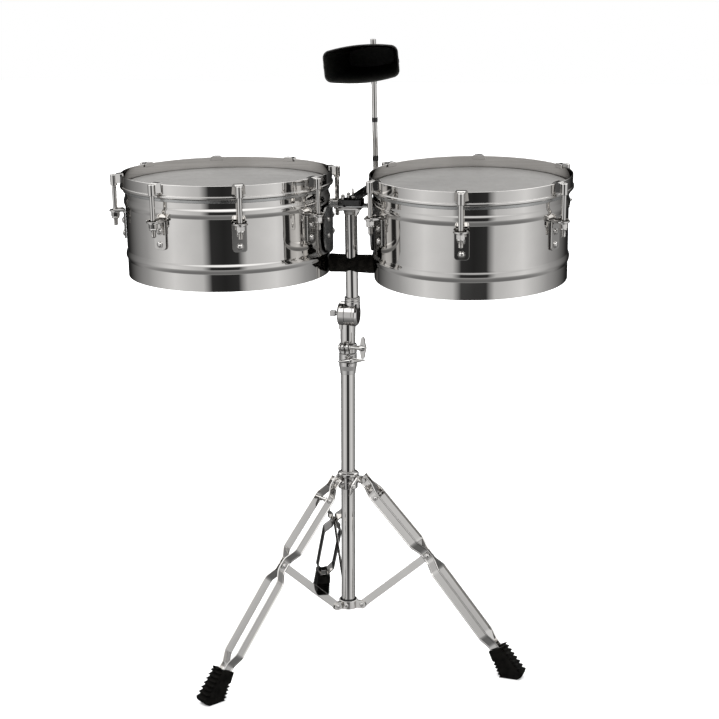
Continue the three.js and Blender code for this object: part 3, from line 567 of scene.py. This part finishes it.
def drum_bracket(side, drum):
    """The satin plate that stands off the shell, its four bolts and its tab onto the top plate."""
    b = BRACKET
    inner = drum["radius"] + b["stand"]
    plate = eased(curved_plate(inner, b["thick"], b["half"], b["foot"], b["top"], 28, 12), 0.7, 2, 50)
    place = DRUM[side] @ turn(drum["bracket"] - 90, "Z")
    piece(side + "_curved_bracket", plate, place, SATIN, "mast", "chrome", side + "_bracket")
    swing = math.degrees(b["bolt"] / inner)
    bolts = []
    for z in b["rows"]:
        for angle in (-swing, swing):
            spot = turn(angle, "Z") @ move(inner + b["thick"] + 0.6, 0, z) @ turn(90, "Y")
            bolts.append(placed(merged(dome(4.3, 2.6), disc(3, -6.8, 0, 0.2, 20)), spot))
    piece(side + "_bracket_bolts", merged(*bolts), place, MIRROR, "mast", "chrome")
    low, high = drum["tab"]
    outer = rounded([(low, -16), (high, -16), (high, 16), (low, 16)], 3, 4)
    tab = eased(prism(outer, *TAB), 0.6, 2, 50)
    at = low if side == "left" else high
    sign = 1 if side == "left" else -1
    fillet = upright([(at - sign * 1.5, 193.5), (at + sign * 7, 193.5), (at + sign * 2, 190.7),
                      (at - sign * 1.5, 185)], -15, 15)
    piece(side + "_bracket_tab", merged(tab, fillet), MAST, SATIN, "mast", "chrome")


def build_drums():
    for side, drum in DRUMS.items():
        drum_shell(side, drum["radius"])
        drum_hoop(side, drum["radius"])
        drum_head(side, drum["radius"])
        drum_bracket(side, drum)
        for k in range(drum["lugs"]):
            azimuth = drum["first"] + 360 * k / drum["lugs"]
            tension_hook(side, drum["radius"], k + 1, azimuth)
            tube_lug(side, drum["radius"], k + 1, azimuth)


# ------------------------------------------------------------ tripod


def between(start, end):
    """Turns a piece made along +X so that it runs from one (distance, height) point to another."""
    slope = math.degrees(math.atan2(end[1] - start[1], end[0] - start[0]))
    return move(start[0], 0, start[1]) @ turn(-slope, "Y")


def bowed_strip(length, side, start, finish, tail):
    """A pressed strip with turned edges that bows out between its ends."""
    s = STRIP
    rise = s["land"] + s["ramp"]
    path = [(-s["end"], start), (s["land"], start), (rise, s["spread"]), (length - rise, s["spread"]),
            (length - s["land"], finish), (length + tail, finish)]
    bent = [path[0]] + [p for p in open_bends(path, 14)] + [path[-1]]
    half, wide = s["thick"] / 2, s["width"] / 2
    section = rounded([
        (-half, -wide, 0.9), (half, -wide, 0.4), (half, -wide + 1.7, 0.4), (0.3, -wide + 2.6, 0.8),
        (0.3, wide - 2.6, 0.8), (half, wide - 1.7, 0.4), (half, wide, 0.4), (-half, wide, 0.9),
    ], steps=2)
    bar = swept(bent, section)
    return placed(bar, Matrix.Diagonal((1, side, 1, 1)))


def open_bends(path, radius):
    """The inner corners of an open path as arcs."""
    made = []
    for a, b, c in zip(path, path[1:], path[2:]):
        made += rounded([(*a, 0), (*b, radius), (*c, 0)], steps=5)[1:-1]
    return made


def leg(number):
    place = outward(f"leg_{number}_hinge")
    tongue = 3.4 + STRIP["thick"] / 2
    knee = BRACE["thick"] / 2 + 0.5 + STRIP["thick"] / 2
    ankle = 7
    upper = math.dist(HUB_PIVOT, KNEE)
    lower = math.dist(KNEE, ANKLE)
    solids = []
    for side in (1, -1):
        solids.append(placed(bowed_strip(upper, side, tongue, knee, STRIP["end"]), between(HUB_PIVOT, KNEE)))
        solids.append(placed(bowed_strip(lower, side, knee, ankle, STRIP["foot_end"]), between(KNEE, ANKLE)))
        head = move(KNEE[0], side * (knee + STRIP["thick"] / 2 + 0.3), KNEE[1]) @ turn(-90 * side, "X")
        solids.append(placed(dome(4.2, 2), head))
    spacer = merged(along_y(disc(3.4, -STRIP["spread"], STRIP["spread"], 0.3, 24)),
                    along_y(disc(4.6, -9, -5, 0.8, 24)), along_y(disc(4.6, 5, 9, 0.8, 24)))
    solids.append(placed(spacer, between(HUB_PIVOT, KNEE) @ move(38)))
    for side in (1, -1):
        spot = between(HUB_PIVOT, KNEE) @ move(38, side * (STRIP["spread"] + 1.4)) @ turn(-90 * side, "X")
        solids.append(placed(dome(3.6, 1.8), spot))
    filler = block((-4, STRIP["foot_end"]), (-ankle, ankle), (-5, 5))
    solids.append(placed(filler, between(ANKLE, beyond_ankle())))
    piece(f"leg_{number}_strips", merged(*solids), place, MIRROR, f"leg_{number}", "chrome", f"leg_{number}")


def beyond_ankle():
    return (2 * ANKLE[0] - KNEE[0], 2 * ANKLE[1] - KNEE[1])


def brace(number):
    """A flat bar with round ends."""
    length = math.dist(COLLAR_PIVOT, KNEE)
    end = BRACE["width"] / 2
    half = BRACE["thick"] / 2
    outline = rounded([(-end, -end), (length + end, -end), (length + end, end), (-end, end)], end - 0.01, 8)
    bar = eased(upright(outline, -half, half), 0.5, 2, 50)
    place = outward(f"leg_{number}_hinge") @ between(COLLAR_PIVOT, KNEE)
    piece(f"brace_{number}_bar", bar, place, MIRROR, f"brace_{number}", "chrome", f"brace_{number}")


def rubber_foot(number):
    """A toothed rubber boot with a notch between the leg's strips and a round-edged sole."""
    f = FOOT
    slide = Vector((ANKLE[0] - KNEE[0], ANKLE[1] - KNEE[1])).normalized()

    def fins(low, high, count, depth, root):
        """Fins that point level and away from the boot, with their tips on a line."""
        for i in range(count):
            x = low[0] + (high[0] - low[0]) * i / count
            z = low[1] + (high[1] - low[1]) * i / count
            if i:
                yield from ((x - depth, z - root), (x - depth / 8, z - 0.9), (x, z), (x - depth / 8, z + 0.7))
            yield (x - depth, z + root)

    def slice_at(notch, draw):
        outer = list(fins(f["toe"], f["outer"], 7, 7, 1.5))
        inner = list(fins(f["heel"], f["collar"], 5, -4.6, 1.3))
        points = [f["heel"], (324, 0), (331, 4.5), f["toe"], *outer, (f["outer"][0] - 4, f["outer"][1] - 2.6)]
        for top in (f["outer"], f["inner"]):
            points.append((top[0] + slide.x * notch, top[1] + slide.y * notch))
        points += [f["collar"], (f["collar"][0] + 4.6, f["collar"][1] - 1), *reversed(inner)]
        middle = sum(x for x, z in points) / len(points)
        return [(middle + (x - middle) * draw, z) for x, z in points]

    slices = ((-13, 1.5, 0.96), (-12, 0, 1), (-7, 0, 1), (0, 3, 1), (7, 0, 1), (12, 0, 1), (13, 1.5, 0.96))
    boot = rings_to_solid([[(x, y, z) for x, z in slice_at(notch, draw)] for y, notch, draw in slices])
    sole = upright(rounded([(293, 0.9), (324, 0.9), (333, 7), (334, 12), (296, 9)], 1), -13.4, 13.4)
    place = outward(f"leg_{number}_hinge")
    piece(f"foot_{number}_boot", merged(boot, eased(sole, 0.8)), place, RUBBER,
          f"leg_{number}", "rubber", f"rubber_foot_{number}", sharp=30)


def base_tube():
    t = BASE_TUBE
    piece("base_tube_chromed", collar(t["inner"], t["outer"], t["bottom"], t["top"], 0.3, 96), POST, MIRROR,
          "base", "chrome", "base_tube_with_brace_collar")
    slot = BRACE["thick"] / 2 + 0.35
    ear = slot + 2.3
    x, z = COLLAR_PIVOT
    low_edge, high_edge = COLLAR["bottom"], COLLAR["top"]
    solids = [collar(12.4, COLLAR["outer"], low_edge, high_edge, 0.8)]
    for number in (1, 2, 3):
        swing = POST.inverted() @ outward(f"leg_{number}_hinge")
        for side in (1, -1):
            foot, head = low_edge + 0.5, high_edge - 0.5
            cheek = rounded([(13, foot), (x + 8, foot, 7.2), (x + 8, head, 7.2), (13, head)], 1, 8)
            low, high = sorted((side * slot, side * ear))
            solids.append(placed(eased(upright(cheek, low, high), 0.5, 2, 50), swing))
            rivet = placed(dome(3.4, 1.6), move(x, side * (ear + 0.4), z) @ turn(-90 * side, "X"))
            solids.append(placed(rivet, swing))
        solids.append(placed(along_y(disc(2.6, -ear, ear, 0.2, 20)), swing @ move(x, 0, z)))
    solids.append(placed(dome(3, 1.6), turn(-90, "Z") @ move(17.2, 0, z) @ turn(90, "Y")))
    piece("brace_collar_casting", merged(*solids), POST, MIRROR, "base", "chrome")
    piece("collar_bushing", collar(12.8, 14.6, 107.4, 109.6, 0.5), POST, DARK_METAL_AND_PAINTED_REFLECTION, "base", "chrome")


def leg_hub():
    barrel = lathe(rounded([
        (13.1, 323, 0.4), (17.6, 323, 1.2), (17.6, 345, 0.8), (19.5, 346.5, 1), (19.5, 351, 1),
        (17.6, 353, 0.8), (15.5, 353, 0.6), (15, 355, 0.5), (13.1, 355, 0.3),
    ]), 96)
    solids = [barrel]
    x, z = HUB_PIVOT
    inside = 3 + 0.4 + STRIP["thick"] + 0.4
    for number in (1, 2, 3):
        swing = POST.inverted() @ outward(f"leg_{number}_hinge")
        end = x + 6.5
        tongue = rounded([(15.6, z - 7), (end, z - 6.5, 6.4), (end, z + 6.5, 6.4), (15.6, z + 6)], 1, 6)
        solids.append(placed(eased(upright(tongue, -3, 3), 0.5, 2, 50), swing))
        solids.append(placed(along_y(disc(2.6, -inside, inside, 0.2, 20)), swing @ move(x, 0, z)))
        for side in (1, -1):
            low, high = sorted((side * inside, side * (inside + 2)))
            solids.append(placed(along_y(hexagon(4.6, low, high)), swing @ move(x, 0, z)))
    bolt = POST.inverted() @ outward("hub_bolt_turn", False) @ move(0, 0, HUB_BOLT_HEIGHT)
    solids.append(placed(along_x(disc(6.5, 15.6, 24, 0.8, 32)), bolt))
    solids.append(placed(dome(4.2, 2.6), turn(-112, "Z") @ move(17.9, 0, 335) @ turn(90, "Y")))
    piece("leg_hub_casting", merged(*solids), POST, CASTING, "hub", "chrome", "leg_hub")


def wing(half_span, thick_middle, thick_tip, height_middle, steps=20, sides=16):
    """A leaf-shaped wing along Y: full in its middle and thin towards its round tips."""
    rings = []
    for k in range(steps + 1):
        t = abs(2 * k / steps - 1)
        tip = math.sqrt(max(1 - t ** 6, 0))
        height = height_middle * (0.3 + 0.7 * math.exp(-((t / 0.55) ** 2))) * tip
        thick = (thick_tip + (thick_middle - thick_tip) * (1 - t) ** 0.8) / 2 * tip
        rings.append([(thick * math.cos(a), half_span * (2 * k / steps - 1), height * math.sin(a))
                      for a in (2 * math.pi * j / sides for j in range(sides))])
    return rings_to_solid(rings[1:-1])


def wing_bolt(name, joint, seat, half_span, tilt, body, node):
    """A bolt that points outwards, with a round hub and two wings that thin out to their tips."""
    solids = [
        along_x(disc(3, 13.1, seat + 5, 0.3, 24)), along_x(disc(5.2, seat, seat + 10.5, 2.4, 32)),
        placed(wing(half_span, 9.5, 4, 4.9), move(seat + 5.5)),
    ]
    height = JOINTS[joint]["pos_m"][2] / MM
    place = outward(joint, False) @ move(0, 0, height) @ turn(tilt, "X")
    piece(name, merged(*solids), place, MIRROR, body, "chrome", node, sharp=50)


def build_tripod():
    base_tube()
    leg_hub()
    wing_bolt("hub_wing_bolt_leaf", "hub_bolt_turn", 25, 20, 67, "hub_bolt", "leg_hub_wing_bolt")
    for number in (1, 2, 3):
        leg(number)
        brace(number)
        rubber_foot(number)


# ------------------------------------------------------------ post


def height_clamp():
    fit, lip, top = 13.1, BASE_TUBE["top"] + 0.4, 573.6
    casting = lathe(rounded([
        (fit, 536, 0.3), (13.8, 536, 0.4), (14.4, 543, 2), (16, 551, 3), (16, top, 1.2), (11.5, top, 0.4),
        (11.5, lip, 0.2), (fit, lip, 0.2),
    ], steps=4), 96)
    height = JOINTS["height_bolt_turn"]["pos_m"][2] / MM
    swing = POST.inverted() @ outward("height_bolt_turn", False)
    boss = placed(along_x(disc(6.6, 13.6, 21, 0.9, 32)), swing @ move(0, 0, height))
    stud = placed(merged(along_x(disc(3.2, 15.4, 17.6, 0.4, 24)), along_x(hexagon(2.2, 17, 18.6))),
                  swing @ move(0, 0, 554))
    piece("height_clamp_casting", merged(casting, boss, stud), POST, CASTING,
          "base", "chrome", "height_clamp")
    wing_bolt("height_wing_bolt_leaf", "height_bolt_turn", 22, 27.5, 0, "height_bolt", "height_wing_bolt")


def memory_lock():
    low, high, screw = LOCK["bottom"], LOCK["top"], LOCK["screw"]
    middle = JOINTS["lock_bolt_turn"]["pos_m"][2] / MM
    band = lathe(rounded([(11.5, low), (16, low, 1.4), (16, high, 1.4), (11.5, high)]), 96)
    ears = []
    for side in (1, -1):
        inner, outer = sorted((side * 1.2, side * 7))
        round_ear = placed(along_x(disc(7.4, inner, outer, 1.6, 40)), move(0, screw, middle))
        foot, head = low + 1.2, high - 0.6
        root = rounded([(screw, foot), (screw, head), (-13.5, head), (-13.5, foot)], 0.6, 6)
        root = placed(prism(root, inner, outer), FACING_X)
        ears += [round_ear, eased(root, 0.8, 2, 50)]
    piece("memory_lock_ring", merged(band, *ears), POST, CASTING, "lock", "chrome", "memory_lock")
    steps = [k / 12 for k in range(-12, 13)]
    edge = [((3.9 + 2.5 * math.exp(-((3 * t) ** 2))) * math.sqrt(1.001 - t ** 6), 20 * t) for t in steps]
    leaf = edge + [(-x, z) for x, z in reversed(edge)]
    handle = placed(eased(upright(leaf, -3, 3), 1.6, 4, 50), move(32))
    head = merged(along_x(disc(5.8, -12, -7.6, 1.4, 32)), along_x(disc(2.4, -12.6, -11, 0.3, 16)))
    stem = merged(along_x(disc(3, -9, 30, 0.3, 24)), along_x(disc(4.4, 7.4, 10, 0.8, 24)),
                  along_x(lathe([(0, 17), (3.4, 17), (4.6, 25), (6.2, 31), (4.4, 36), (0, 37.5)], 32)))
    piece("memory_lock_oval_screw", merged(handle, head, stem), POST @ move(0, screw, middle), MIRROR,
          "lock_bolt", "chrome", "memory_lock_wing_bolt", sharp=50)


def tilter():
    t = TILTER
    tube = collar(9.9, 11.1, 230, 603, 0.3, 96)
    sleeve = lathe(rounded([
        (0, 602, 0), (9.5, 602, 0.2), (10.2, 591, 0.3), (12.8, 591, 0.5), (13.4, 593, 0.8),
        (13.8, 621.2, 0.5), (13.8, 628, 1), (0, 634, 0),
    ]), 64)
    radius, left, seam = t["radius"], t["left"], t["seam"]
    fixed = along_x(lathe(rounded([
        (0, left, 0), (radius - 3, left, 1), (radius, left + 2.6, 1.6), (radius, seam - 0.1, 0.5),
        (0, seam - 0.1, 0),
    ], steps=5), 96))
    fixed = placed(fixed, move(0, 0, TILT_HEIGHT))
    neck = rounded([(-14.5, -13.5), (-4, -13.5), (-4, 13.5), (-14.5, 13.5)], 4, 5)
    neck = prism(neck, 618, TILT_HEIGHT - 8)
    piece("height_tube_and_tilter_base", merged(tube, sleeve, fixed, neck), POST, MIRROR, "post", "chrome",
          "height_tube_with_tilter_base")
    turning = along_x(lathe(rounded([
        (0, seam + 0.5, 0), (radius, seam + 0.5, 0.5), (radius, t["right"], 1.4), (0, t["right"], 0),
    ], steps=4), 96))
    cheek = along_x(lathe(rounded([
        (0, 9, 0), (21.5, 9, 0.5), (21.5, 15.5, 3), (17.5, 19.6, 3), (0, 19.6, 0),
    ], steps=5), 96))
    arm = block((9.8, 19.2), (-12, 12), (0, 22.4), 3)
    cup = lathe(rounded([
        (0, 11.5, 0), (13.6, 11.5, 2), (14, 22, 0.6), (14, 24, 0.6), (12.8, 24.8, 0.4), (14, 25.6, 0.6),
        (14, 28, 0.6), (12.8, 28.8, 0.4), (14, 29.6, 0.6), (14, 31.4, 0.7), (11.4, 31.4, 0.2), (11.4, 20, 0),
        (0, 20, 0),
    ]), 64)
    piece("tilter_head_and_cup", merged(turning, cheek, arm, placed(cup, move(MAST_X))), MAST, MIRROR,
          "mast", "chrome", "tilter_head")
    waist = along_x(lathe(rounded([
        (0, -22.5, 0), (3.2, -22.5, 0.4), (3.2, left - 3, 0.6), (4, left - 2, 0.4), (4, left, 0.4),
        (0, left, 0),
    ]), 32))
    square = block((-32.4, -21.5), (-4.8, 4.8), (-4.8, 4.8), 1.2)
    collar_ring = along_x(disc(6.6, left - 2, left - 0.2, 0.6, 40))
    shank = along_x(disc(4, left - 1, 10, 0.3, 24))
    piece("tilter_square_key_bolt", merged(waist, square, collar_ring, shank),
          POST @ move(0, 0, TILT_HEIGHT), CASTING, "key_bolt", "chrome", "tilter_key_bolt")


# ------------------------------------------------------------ mast, foam and cowbell


def mast_tube():
    p = PLATE
    tube = collar(9.9, 11.1, 22.9, p["bottom"] + 0.5, 0.3, 96)
    plate = rounded([(-p["x"], -p["y"]), (p["x"], -p["y"]), (p["x"], p["y"]), (-p["x"], p["y"])], 4, 5)
    plate = eased(prism(plate, p["bottom"], p["top"]), 0.7, 2, 50)
    spacer = block((-14, 14), (-14, 14), (p["top"] - 0.5, TAB[0] - 0.4), 0.5)
    foot = p["bottom"] - 12
    head = p["bottom"] + 0.5
    web = [(10.4, head), (10.4, foot), (11.2, foot), (14, foot + 6), (p["x"] - 0.6, head)]
    gusset = upright(web, -9.6, 9.6)
    flare = lathe(rounded([
        (11, foot + 2, 0.2), (11.7, foot + 3, 0.3), (12.6, foot + 7, 1.5), (14.5, p["bottom"], 0.4),
        (11, p["bottom"], 0.2),
    ]), 64)
    bar = along_x(disc(8, -27 - MAST_X, 49 - MAST_X, 1.2))
    solids = merged(tube, plate, spacer, gusset, flare, placed(bar, move(0, 0, BAR_HEIGHT)))
    piece("mast_tube_and_top_plate", solids, MAST @ move(MAST_X), MIRROR,
          "mast", "chrome", "mast_with_top_plate")
    bolt = merged(hexagon(4.6, p["bottom"] - 4, p["bottom"] + 0.3), hexagon(4.6, TAB[1], TAB[1] + 5.5),
                  disc(3.6, TAB[1] + 5, TAB[1] + 9, 1.4, 24))
    piece("top_plate_bolt", placed(bolt, move(-17, -2)), MAST @ move(MAST_X), DARK_METAL_AND_PAINTED_REFLECTION, "mast", "chrome")


def foam_sleeve():
    """The foam on the low bar, a little squeezed at the mast's tube, with softened ends."""
    low, high, radius = -30.4, 52, 16.2
    rings = []
    count = 60
    for k in range(count + 1):
        t = k / count
        x = low + (high - low) * t
        edge = min(t, 1 - t) * (high - low)
        end = 1 - 0.05 * max(0, 1 - edge / 1.5) ** 2
        waist = 1 - 0.05 * math.exp(-((x - MAST_X) / 14) ** 2)
        rings.append([(x, radius * end * waist * (1 + 0.012 * math.sin(3 * a + 0.11 * x)) * math.cos(a),
                       radius * end * waist * (1 + 0.012 * math.sin(2 * a - 0.17 * x)) * math.sin(a))
                      for a in (2 * math.pi * j / 48 for j in range(48))])
    made = piece("foam_bumper_sleeve", rings_to_solid(rings), MAST @ move(0, 0, BAR_HEIGHT), FOAM,
                 "mast", "foam", "bar_foam", sharp=60)


def cowbell_arm():
    """The base block with its nuts, the flat arm that rises from it, and the block round the rod."""
    a = ARM
    start, end = Vector(a["start"]), Vector(a["end"])
    base = eased(prism(rounded(ARM_BASE, 4, 5), a["bottom"], a["top"]), 1.2, 2, 50)
    run = end - start
    bar = block((-12, 12), (-run.length / 2 - 4, run.length / 2 + 4), (-2, 2), 0.8)
    rise = math.degrees(math.atan2(run.z, math.hypot(run.x, run.y)))
    swing = -math.degrees(math.atan2(run.x, run.y))
    bar = placed(bar, Matrix.Translation((start + end) / 2) @ turn(swing, "Z") @ turn(rise, "X"))
    b = ROD_BLOCK
    rod_block = block(b["x"], b["y"], b["z"], 2)
    set_screw = placed(merged(disc(3, -4, 6, 0.4, 20), hexagon(5, 1, 5)), move(*b["screw"]) @ turn(90, "Y"))
    # The strap is chromed: its dark base colour is painted reflection of dark surroundings.
    piece("cowbell_arm_strap", merged(base, bar, rod_block, set_screw), MAST, DARK_METAL_AND_PAINTED_REFLECTION,
          "bell_arm", "chrome", "cowbell_arm")
    top = a["top"]
    nuts = []
    for x, y, size, tall in ((-3.5, -7, 4.2, 9), (4, 3, 3.8, 11)):
        nut = merged(hexagon(size, top - 1, top + tall - 4), disc(size - 0.8, top, top + tall, 1, 24))
        nuts.append(placed(nut, move(x, y)))
    leaf = placed(wing(10, 3.6, 3, 4), move(12.6, 0, top + 10) @ turn(90, "X"))
    stud = placed(disc(3.4, top - 1, top + 5, 0.6, 24), move(12.6))
    piece("cowbell_arm_nuts", merged(*nuts, stud, leaf), MAST, CASTING, "bell_arm", "chrome", sharp=50)


def cowbell_rod():
    """The rod is in the frame of the bell's turning axis, whose origin is at the arm's height."""
    zero = ARM["end"][2]
    rod = disc(ROD["radius"], ROD["bottom"] - zero, ROD["top"] - zero, 0.8, 40)
    piece("cowbell_post_rod", rod, BELL_FRAME, MIRROR, "bell_rod", "chrome", "cowbell_rod")
    stops = [collar(4.6, 5.35, low - zero, high - zero, 0.3, 40) for low, high in ROD["stops"]]
    piece("cowbell_rod_stops", merged(*stops), BELL_FRAME, DARK_METAL_AND_PAINTED_REFLECTION, "bell_rod", "chrome")


def bell_section(half_x, half_z, y, corner, steps=8, crown_steps=10):
    """A ring round the bell's axis: upright sides, round corners, crowned top and bottom."""
    crown = math.radians(BELL["crown"])
    inner_x, inner_z = half_x - corner, half_z - corner
    reach = inner_x + corner * math.sin(crown)
    edge = inner_z + corner * math.cos(crown)
    top = [(inner_x + corner * math.cos(t), inner_z + corner * math.sin(t))
           for t in ((math.pi / 2 - crown) * k / steps for k in range(steps + 1))]
    for k in range(1, crown_steps):
        x = reach * (1 - 2 * k / crown_steps)
        top.append((x, edge + reach * math.tan(crown) / 2 * (1 - (x / reach) ** 2)))
    top += [(-x, z) for x, z in reversed(top[:steps + 1])]
    return [(x, y, z) for x, z in top + [(-x, -z) for x, z in top]]


def cowbell():
    b = BELL
    heel = -12
    mouth = heel - b["length"]

    def skin(inset):
        for t, swell in ((0.04, 0), (0.25, 0.8), (0.5, 1.2), (0.75, 0.9), (0.96, 0.2), (1, 0)):
            half = [b["heel"][i] + (b["mouth"][i] - b["heel"][i]) * t + swell - inset for i in (0, 1)]
            yield bell_section(half[0], half[1], heel - 4 - (b["length"] - 4) * t, b["corner"] - 0.5 * inset)

    outer = [bell_section(b["heel"][0] - 7, b["heel"][1] - 6, heel, 6),
             bell_section(b["heel"][0] - 3, b["heel"][1] - 2.4, heel - 1, 8), *skin(0)]
    lip = bell_section(b["mouth"][0] - 1, b["mouth"][1] - 1, mouth - 0.6, b["corner"])
    inner = list(reversed(list(skin(b["wall"]))))[1:]
    rings = outer + [lip, bell_section(b["mouth"][0] - 2, b["mouth"][1] - 2, mouth, b["corner"] - 1)] + inner
    shell = rings_to_solid(rings)
    seams = []
    for side in (1, -1):
        path = [(side * (b["heel"][0] - 0.6), heel - 6), (side * (b["mouth"][0] - 0.4), mouth + 1)]
        seams.append(swept(path, rounded([(-0.9, -3), (0.9, -3), (0.9, 3), (-0.9, 3)], 0.6)))
    clamp = block((-12, 12), (heel - 3, 12), (-11, 11), 1.6)
    screw = merged(along_x(disc(3, 10, 20, 0.3, 24)), placed(wing(13, 5, 3, 4.4), move(21) @ turn(90, "X")))
    turned = turn(b["azimuth"], "Z") @ turn(b["roll"], "Y")
    place = BELL_FRAME @ move(0, 0, b["height"] - ARM["end"][2]) @ turned
    piece("cowbell_shell", merged(shell, *seams, clamp), place, COAT,
          "bell", "black_paint", "cowbell", sharp=50)
    piece("cowbell_clamp_screw", screw, place, MIRROR, "bell", "chrome", sharp=50)


def build_post():
    height_clamp()
    memory_lock()
    tilter()


def build_mast():
    mast_tube()
    foam_sleeve()
    cowbell_arm()
    cowbell_rod()
    cowbell()


# ------------------------------------------------------------ studio

# The studio's walls, the same on both sides: (degrees from the camera's side, brightness).
WALLS = [(0, 0.02), (15, 0.03), (25, 0.55), (60, 0.75), (100, 0.35), (150, 0.12), (180, 0.3)]
# The rest of the studio, from its floor (-90) past a ring of soft boxes to straight overhead (90).
UPRIGHT_SKY = [(-90, 0.06), (-45, 0.2), (-20, 0.45), (20, 0.5), (30, 1.5), (60, 1.5), (70, 0.1), (90, 0.1)]
WALLS_FROM, WALLS_TO, WALLS_FADE = -20, 16, 8
SUN_STRENGTH, SUN_SPREAD, SUN_TURN = 3.8, 110, (-8, -6, 0)


def math_node(nodes, links, operation, *values):
    node = nodes.new("ShaderNodeMath")
    node.operation = operation
    for socket, value in zip(node.inputs, values):
        if isinstance(value, (int, float)):
            socket.default_value = value
        else:
            links.new(value, socket)
    return node.outputs[0]


def ramp_node(nodes, links, value, stops):
    ramp = nodes.new("ShaderNodeValToRGB")
    elements = ramp.color_ramp.elements
    while len(elements) < len(stops):
        elements.new(1.0)
    for element, (position, grey) in zip(elements, stops):
        element.position = position
        element.color = (grey, grey, grey, 1)
    links.new(value, ramp.inputs["Fac"])
    return ramp.outputs["Color"]


def studio_world():
    """A plain grey studio, soft and symmetric, that is seen in the chrome but not behind the object."""
    world = bpy.data.worlds.new("studio")
    bpy.context.scene.world = world
    world.use_nodes = True
    nodes, links = world.node_tree.nodes, world.node_tree.links
    place = nodes.new("ShaderNodeTexCoord").outputs["Generated"]
    parts = nodes.new("ShaderNodeSeparateXYZ")
    links.new(place, parts.inputs[0])
    x, y, z = parts.outputs
    azimuth = math_node(nodes, links, "ARCTAN2", x, math_node(nodes, links, "MULTIPLY", y, -1))
    azimuth = math_node(nodes, links, "SUBTRACT", azimuth, math.radians(CAMERA_AZIMUTH))
    azimuth = math_node(nodes, links, "WRAP", azimuth, math.pi, -math.pi)
    aside = math_node(nodes, links, "MULTIPLY", math_node(nodes, links, "ABSOLUTE", azimuth), 1 / math.pi)
    walls = ramp_node(nodes, links, aside, [(angle / 180, grey) for angle, grey in WALLS])
    elevation = math_node(nodes, links, "ARCSINE", z)
    rise = math_node(nodes, links, "MULTIPLY_ADD", elevation, 1 / math.pi, 0.5)

    def height_step(*angles):
        stops = [((angle + 90) / 180, grey) for angle, grey in angles]
        return ramp_node(nodes, links, rise, stops)

    def blend(factor, a, b):
        mix = nodes.new("ShaderNodeMix")
        mix.data_type = "RGBA"
        links.new(factor, mix.inputs["Factor"])
        links.new(a, mix.inputs[6])
        links.new(b, mix.inputs[7])
        return mix.outputs[2]

    sky = height_step(*UPRIGHT_SKY)
    below, above = WALLS_FROM - WALLS_FADE, WALLS_TO + WALLS_FADE
    near = height_step((below, 0), (WALLS_FROM, 1), (WALLS_TO, 1), (above, 0))
    studio = blend(near, sky, walls)
    seen = nodes["Background"]
    links.new(studio, seen.inputs["Color"])
    plain = nodes.new("ShaderNodeBackground")
    plain.inputs["Color"].default_value = (1, 1, 1, 1)
    choice = nodes.new("ShaderNodeMixShader")
    links.new(nodes.new("ShaderNodeLightPath").outputs["Is Camera Ray"], choice.inputs["Fac"])
    links.new(seen.outputs[0], choice.inputs[1])
    links.new(plain.outputs[0], choice.inputs[2])
    links.new(choice.outputs[0], nodes["World Output"].inputs["Surface"])


def studio_floor():
    """A plain pale floor. It is kept out of the chrome, which sees the studio's own floor tone instead."""
    mesh = bpy.data.meshes.new("studio_floor")
    grid = bmesh.new()
    bmesh.ops.create_grid(grid, x_segments=8, y_segments=8, size=30)
    grid.to_mesh(mesh)
    grid.free()
    floor = bpy.data.objects.new("studio_floor", mesh)
    bpy.context.scene.collection.objects.link(floor)
    surface = Surface("pale_floor", (0.9, 0.9, 0.9), 0.9, Specular_IOR_Level=0.0)
    surface.mottle(surface.noise(3, 2), (0.895, 0.895, 0.895), (0.905, 0.905, 0.905))
    mesh.materials.append(surface.material)
    floor.visible_glossy = False
    floor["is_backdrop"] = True


def area_light(name, place, aim, size, power):
    data = bpy.data.lights.new(name, "AREA")
    data.shape = "RECTANGLE"
    data.size, data.size_y = size
    data.energy = power
    light = bpy.data.objects.new(name, data)
    light.location = place
    light.rotation_euler = (Vector(aim) - Vector(place)).to_track_quat("-Z", "Y").to_euler()
    light.visible_camera = False
    bpy.context.scene.collection.objects.link(light)
    return light


def studio_lights():
    """A wide soft sun that lights the floor evenly, and a soft box at the left."""
    data = bpy.data.lights.new("soft_sun", "SUN")
    data.energy = SUN_STRENGTH
    data.angle = math.radians(SUN_SPREAD)
    sun = bpy.data.objects.new("soft_sun", data)
    sun.rotation_euler = [math.radians(angle) for angle in SUN_TURN]
    sun.visible_glossy = False
    bpy.context.scene.collection.objects.link(sun)
    side = area_light("side_softbox", (-2.6, -2.2, 1.8), (0, 0, 0.8), (1.6, 2.2), 14)
    side.visible_glossy = False


def camera():
    data = bpy.data.cameras.new("camera")
    data.lens = CAMERA_LENS
    data.sensor_width = 36
    data.clip_end = 60
    made = bpy.data.objects.new("camera", data)
    made.location = Vector((post_x, post_y, 0)) + Vector(CAMERA_FROM_POST)
    made.rotation_euler = (math.radians(90 - CAMERA_PITCH), 0, math.radians(CAMERA_AZIMUTH))
    bpy.context.scene.collection.objects.link(made)
    bpy.context.scene.camera = made


def save_sizes():
    boxes = {"cad": cad_box, "visual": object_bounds()}
    {name: [list(corner) for corner in box] for name, box in boxes.items()}


bpy.context.scene.view_settings.view_transform = "Standard"
camera()
studio_world()
studio_floor()
studio_lights()
build_drums()
build_tripod()
build_post()
build_mast()
save_sizes()
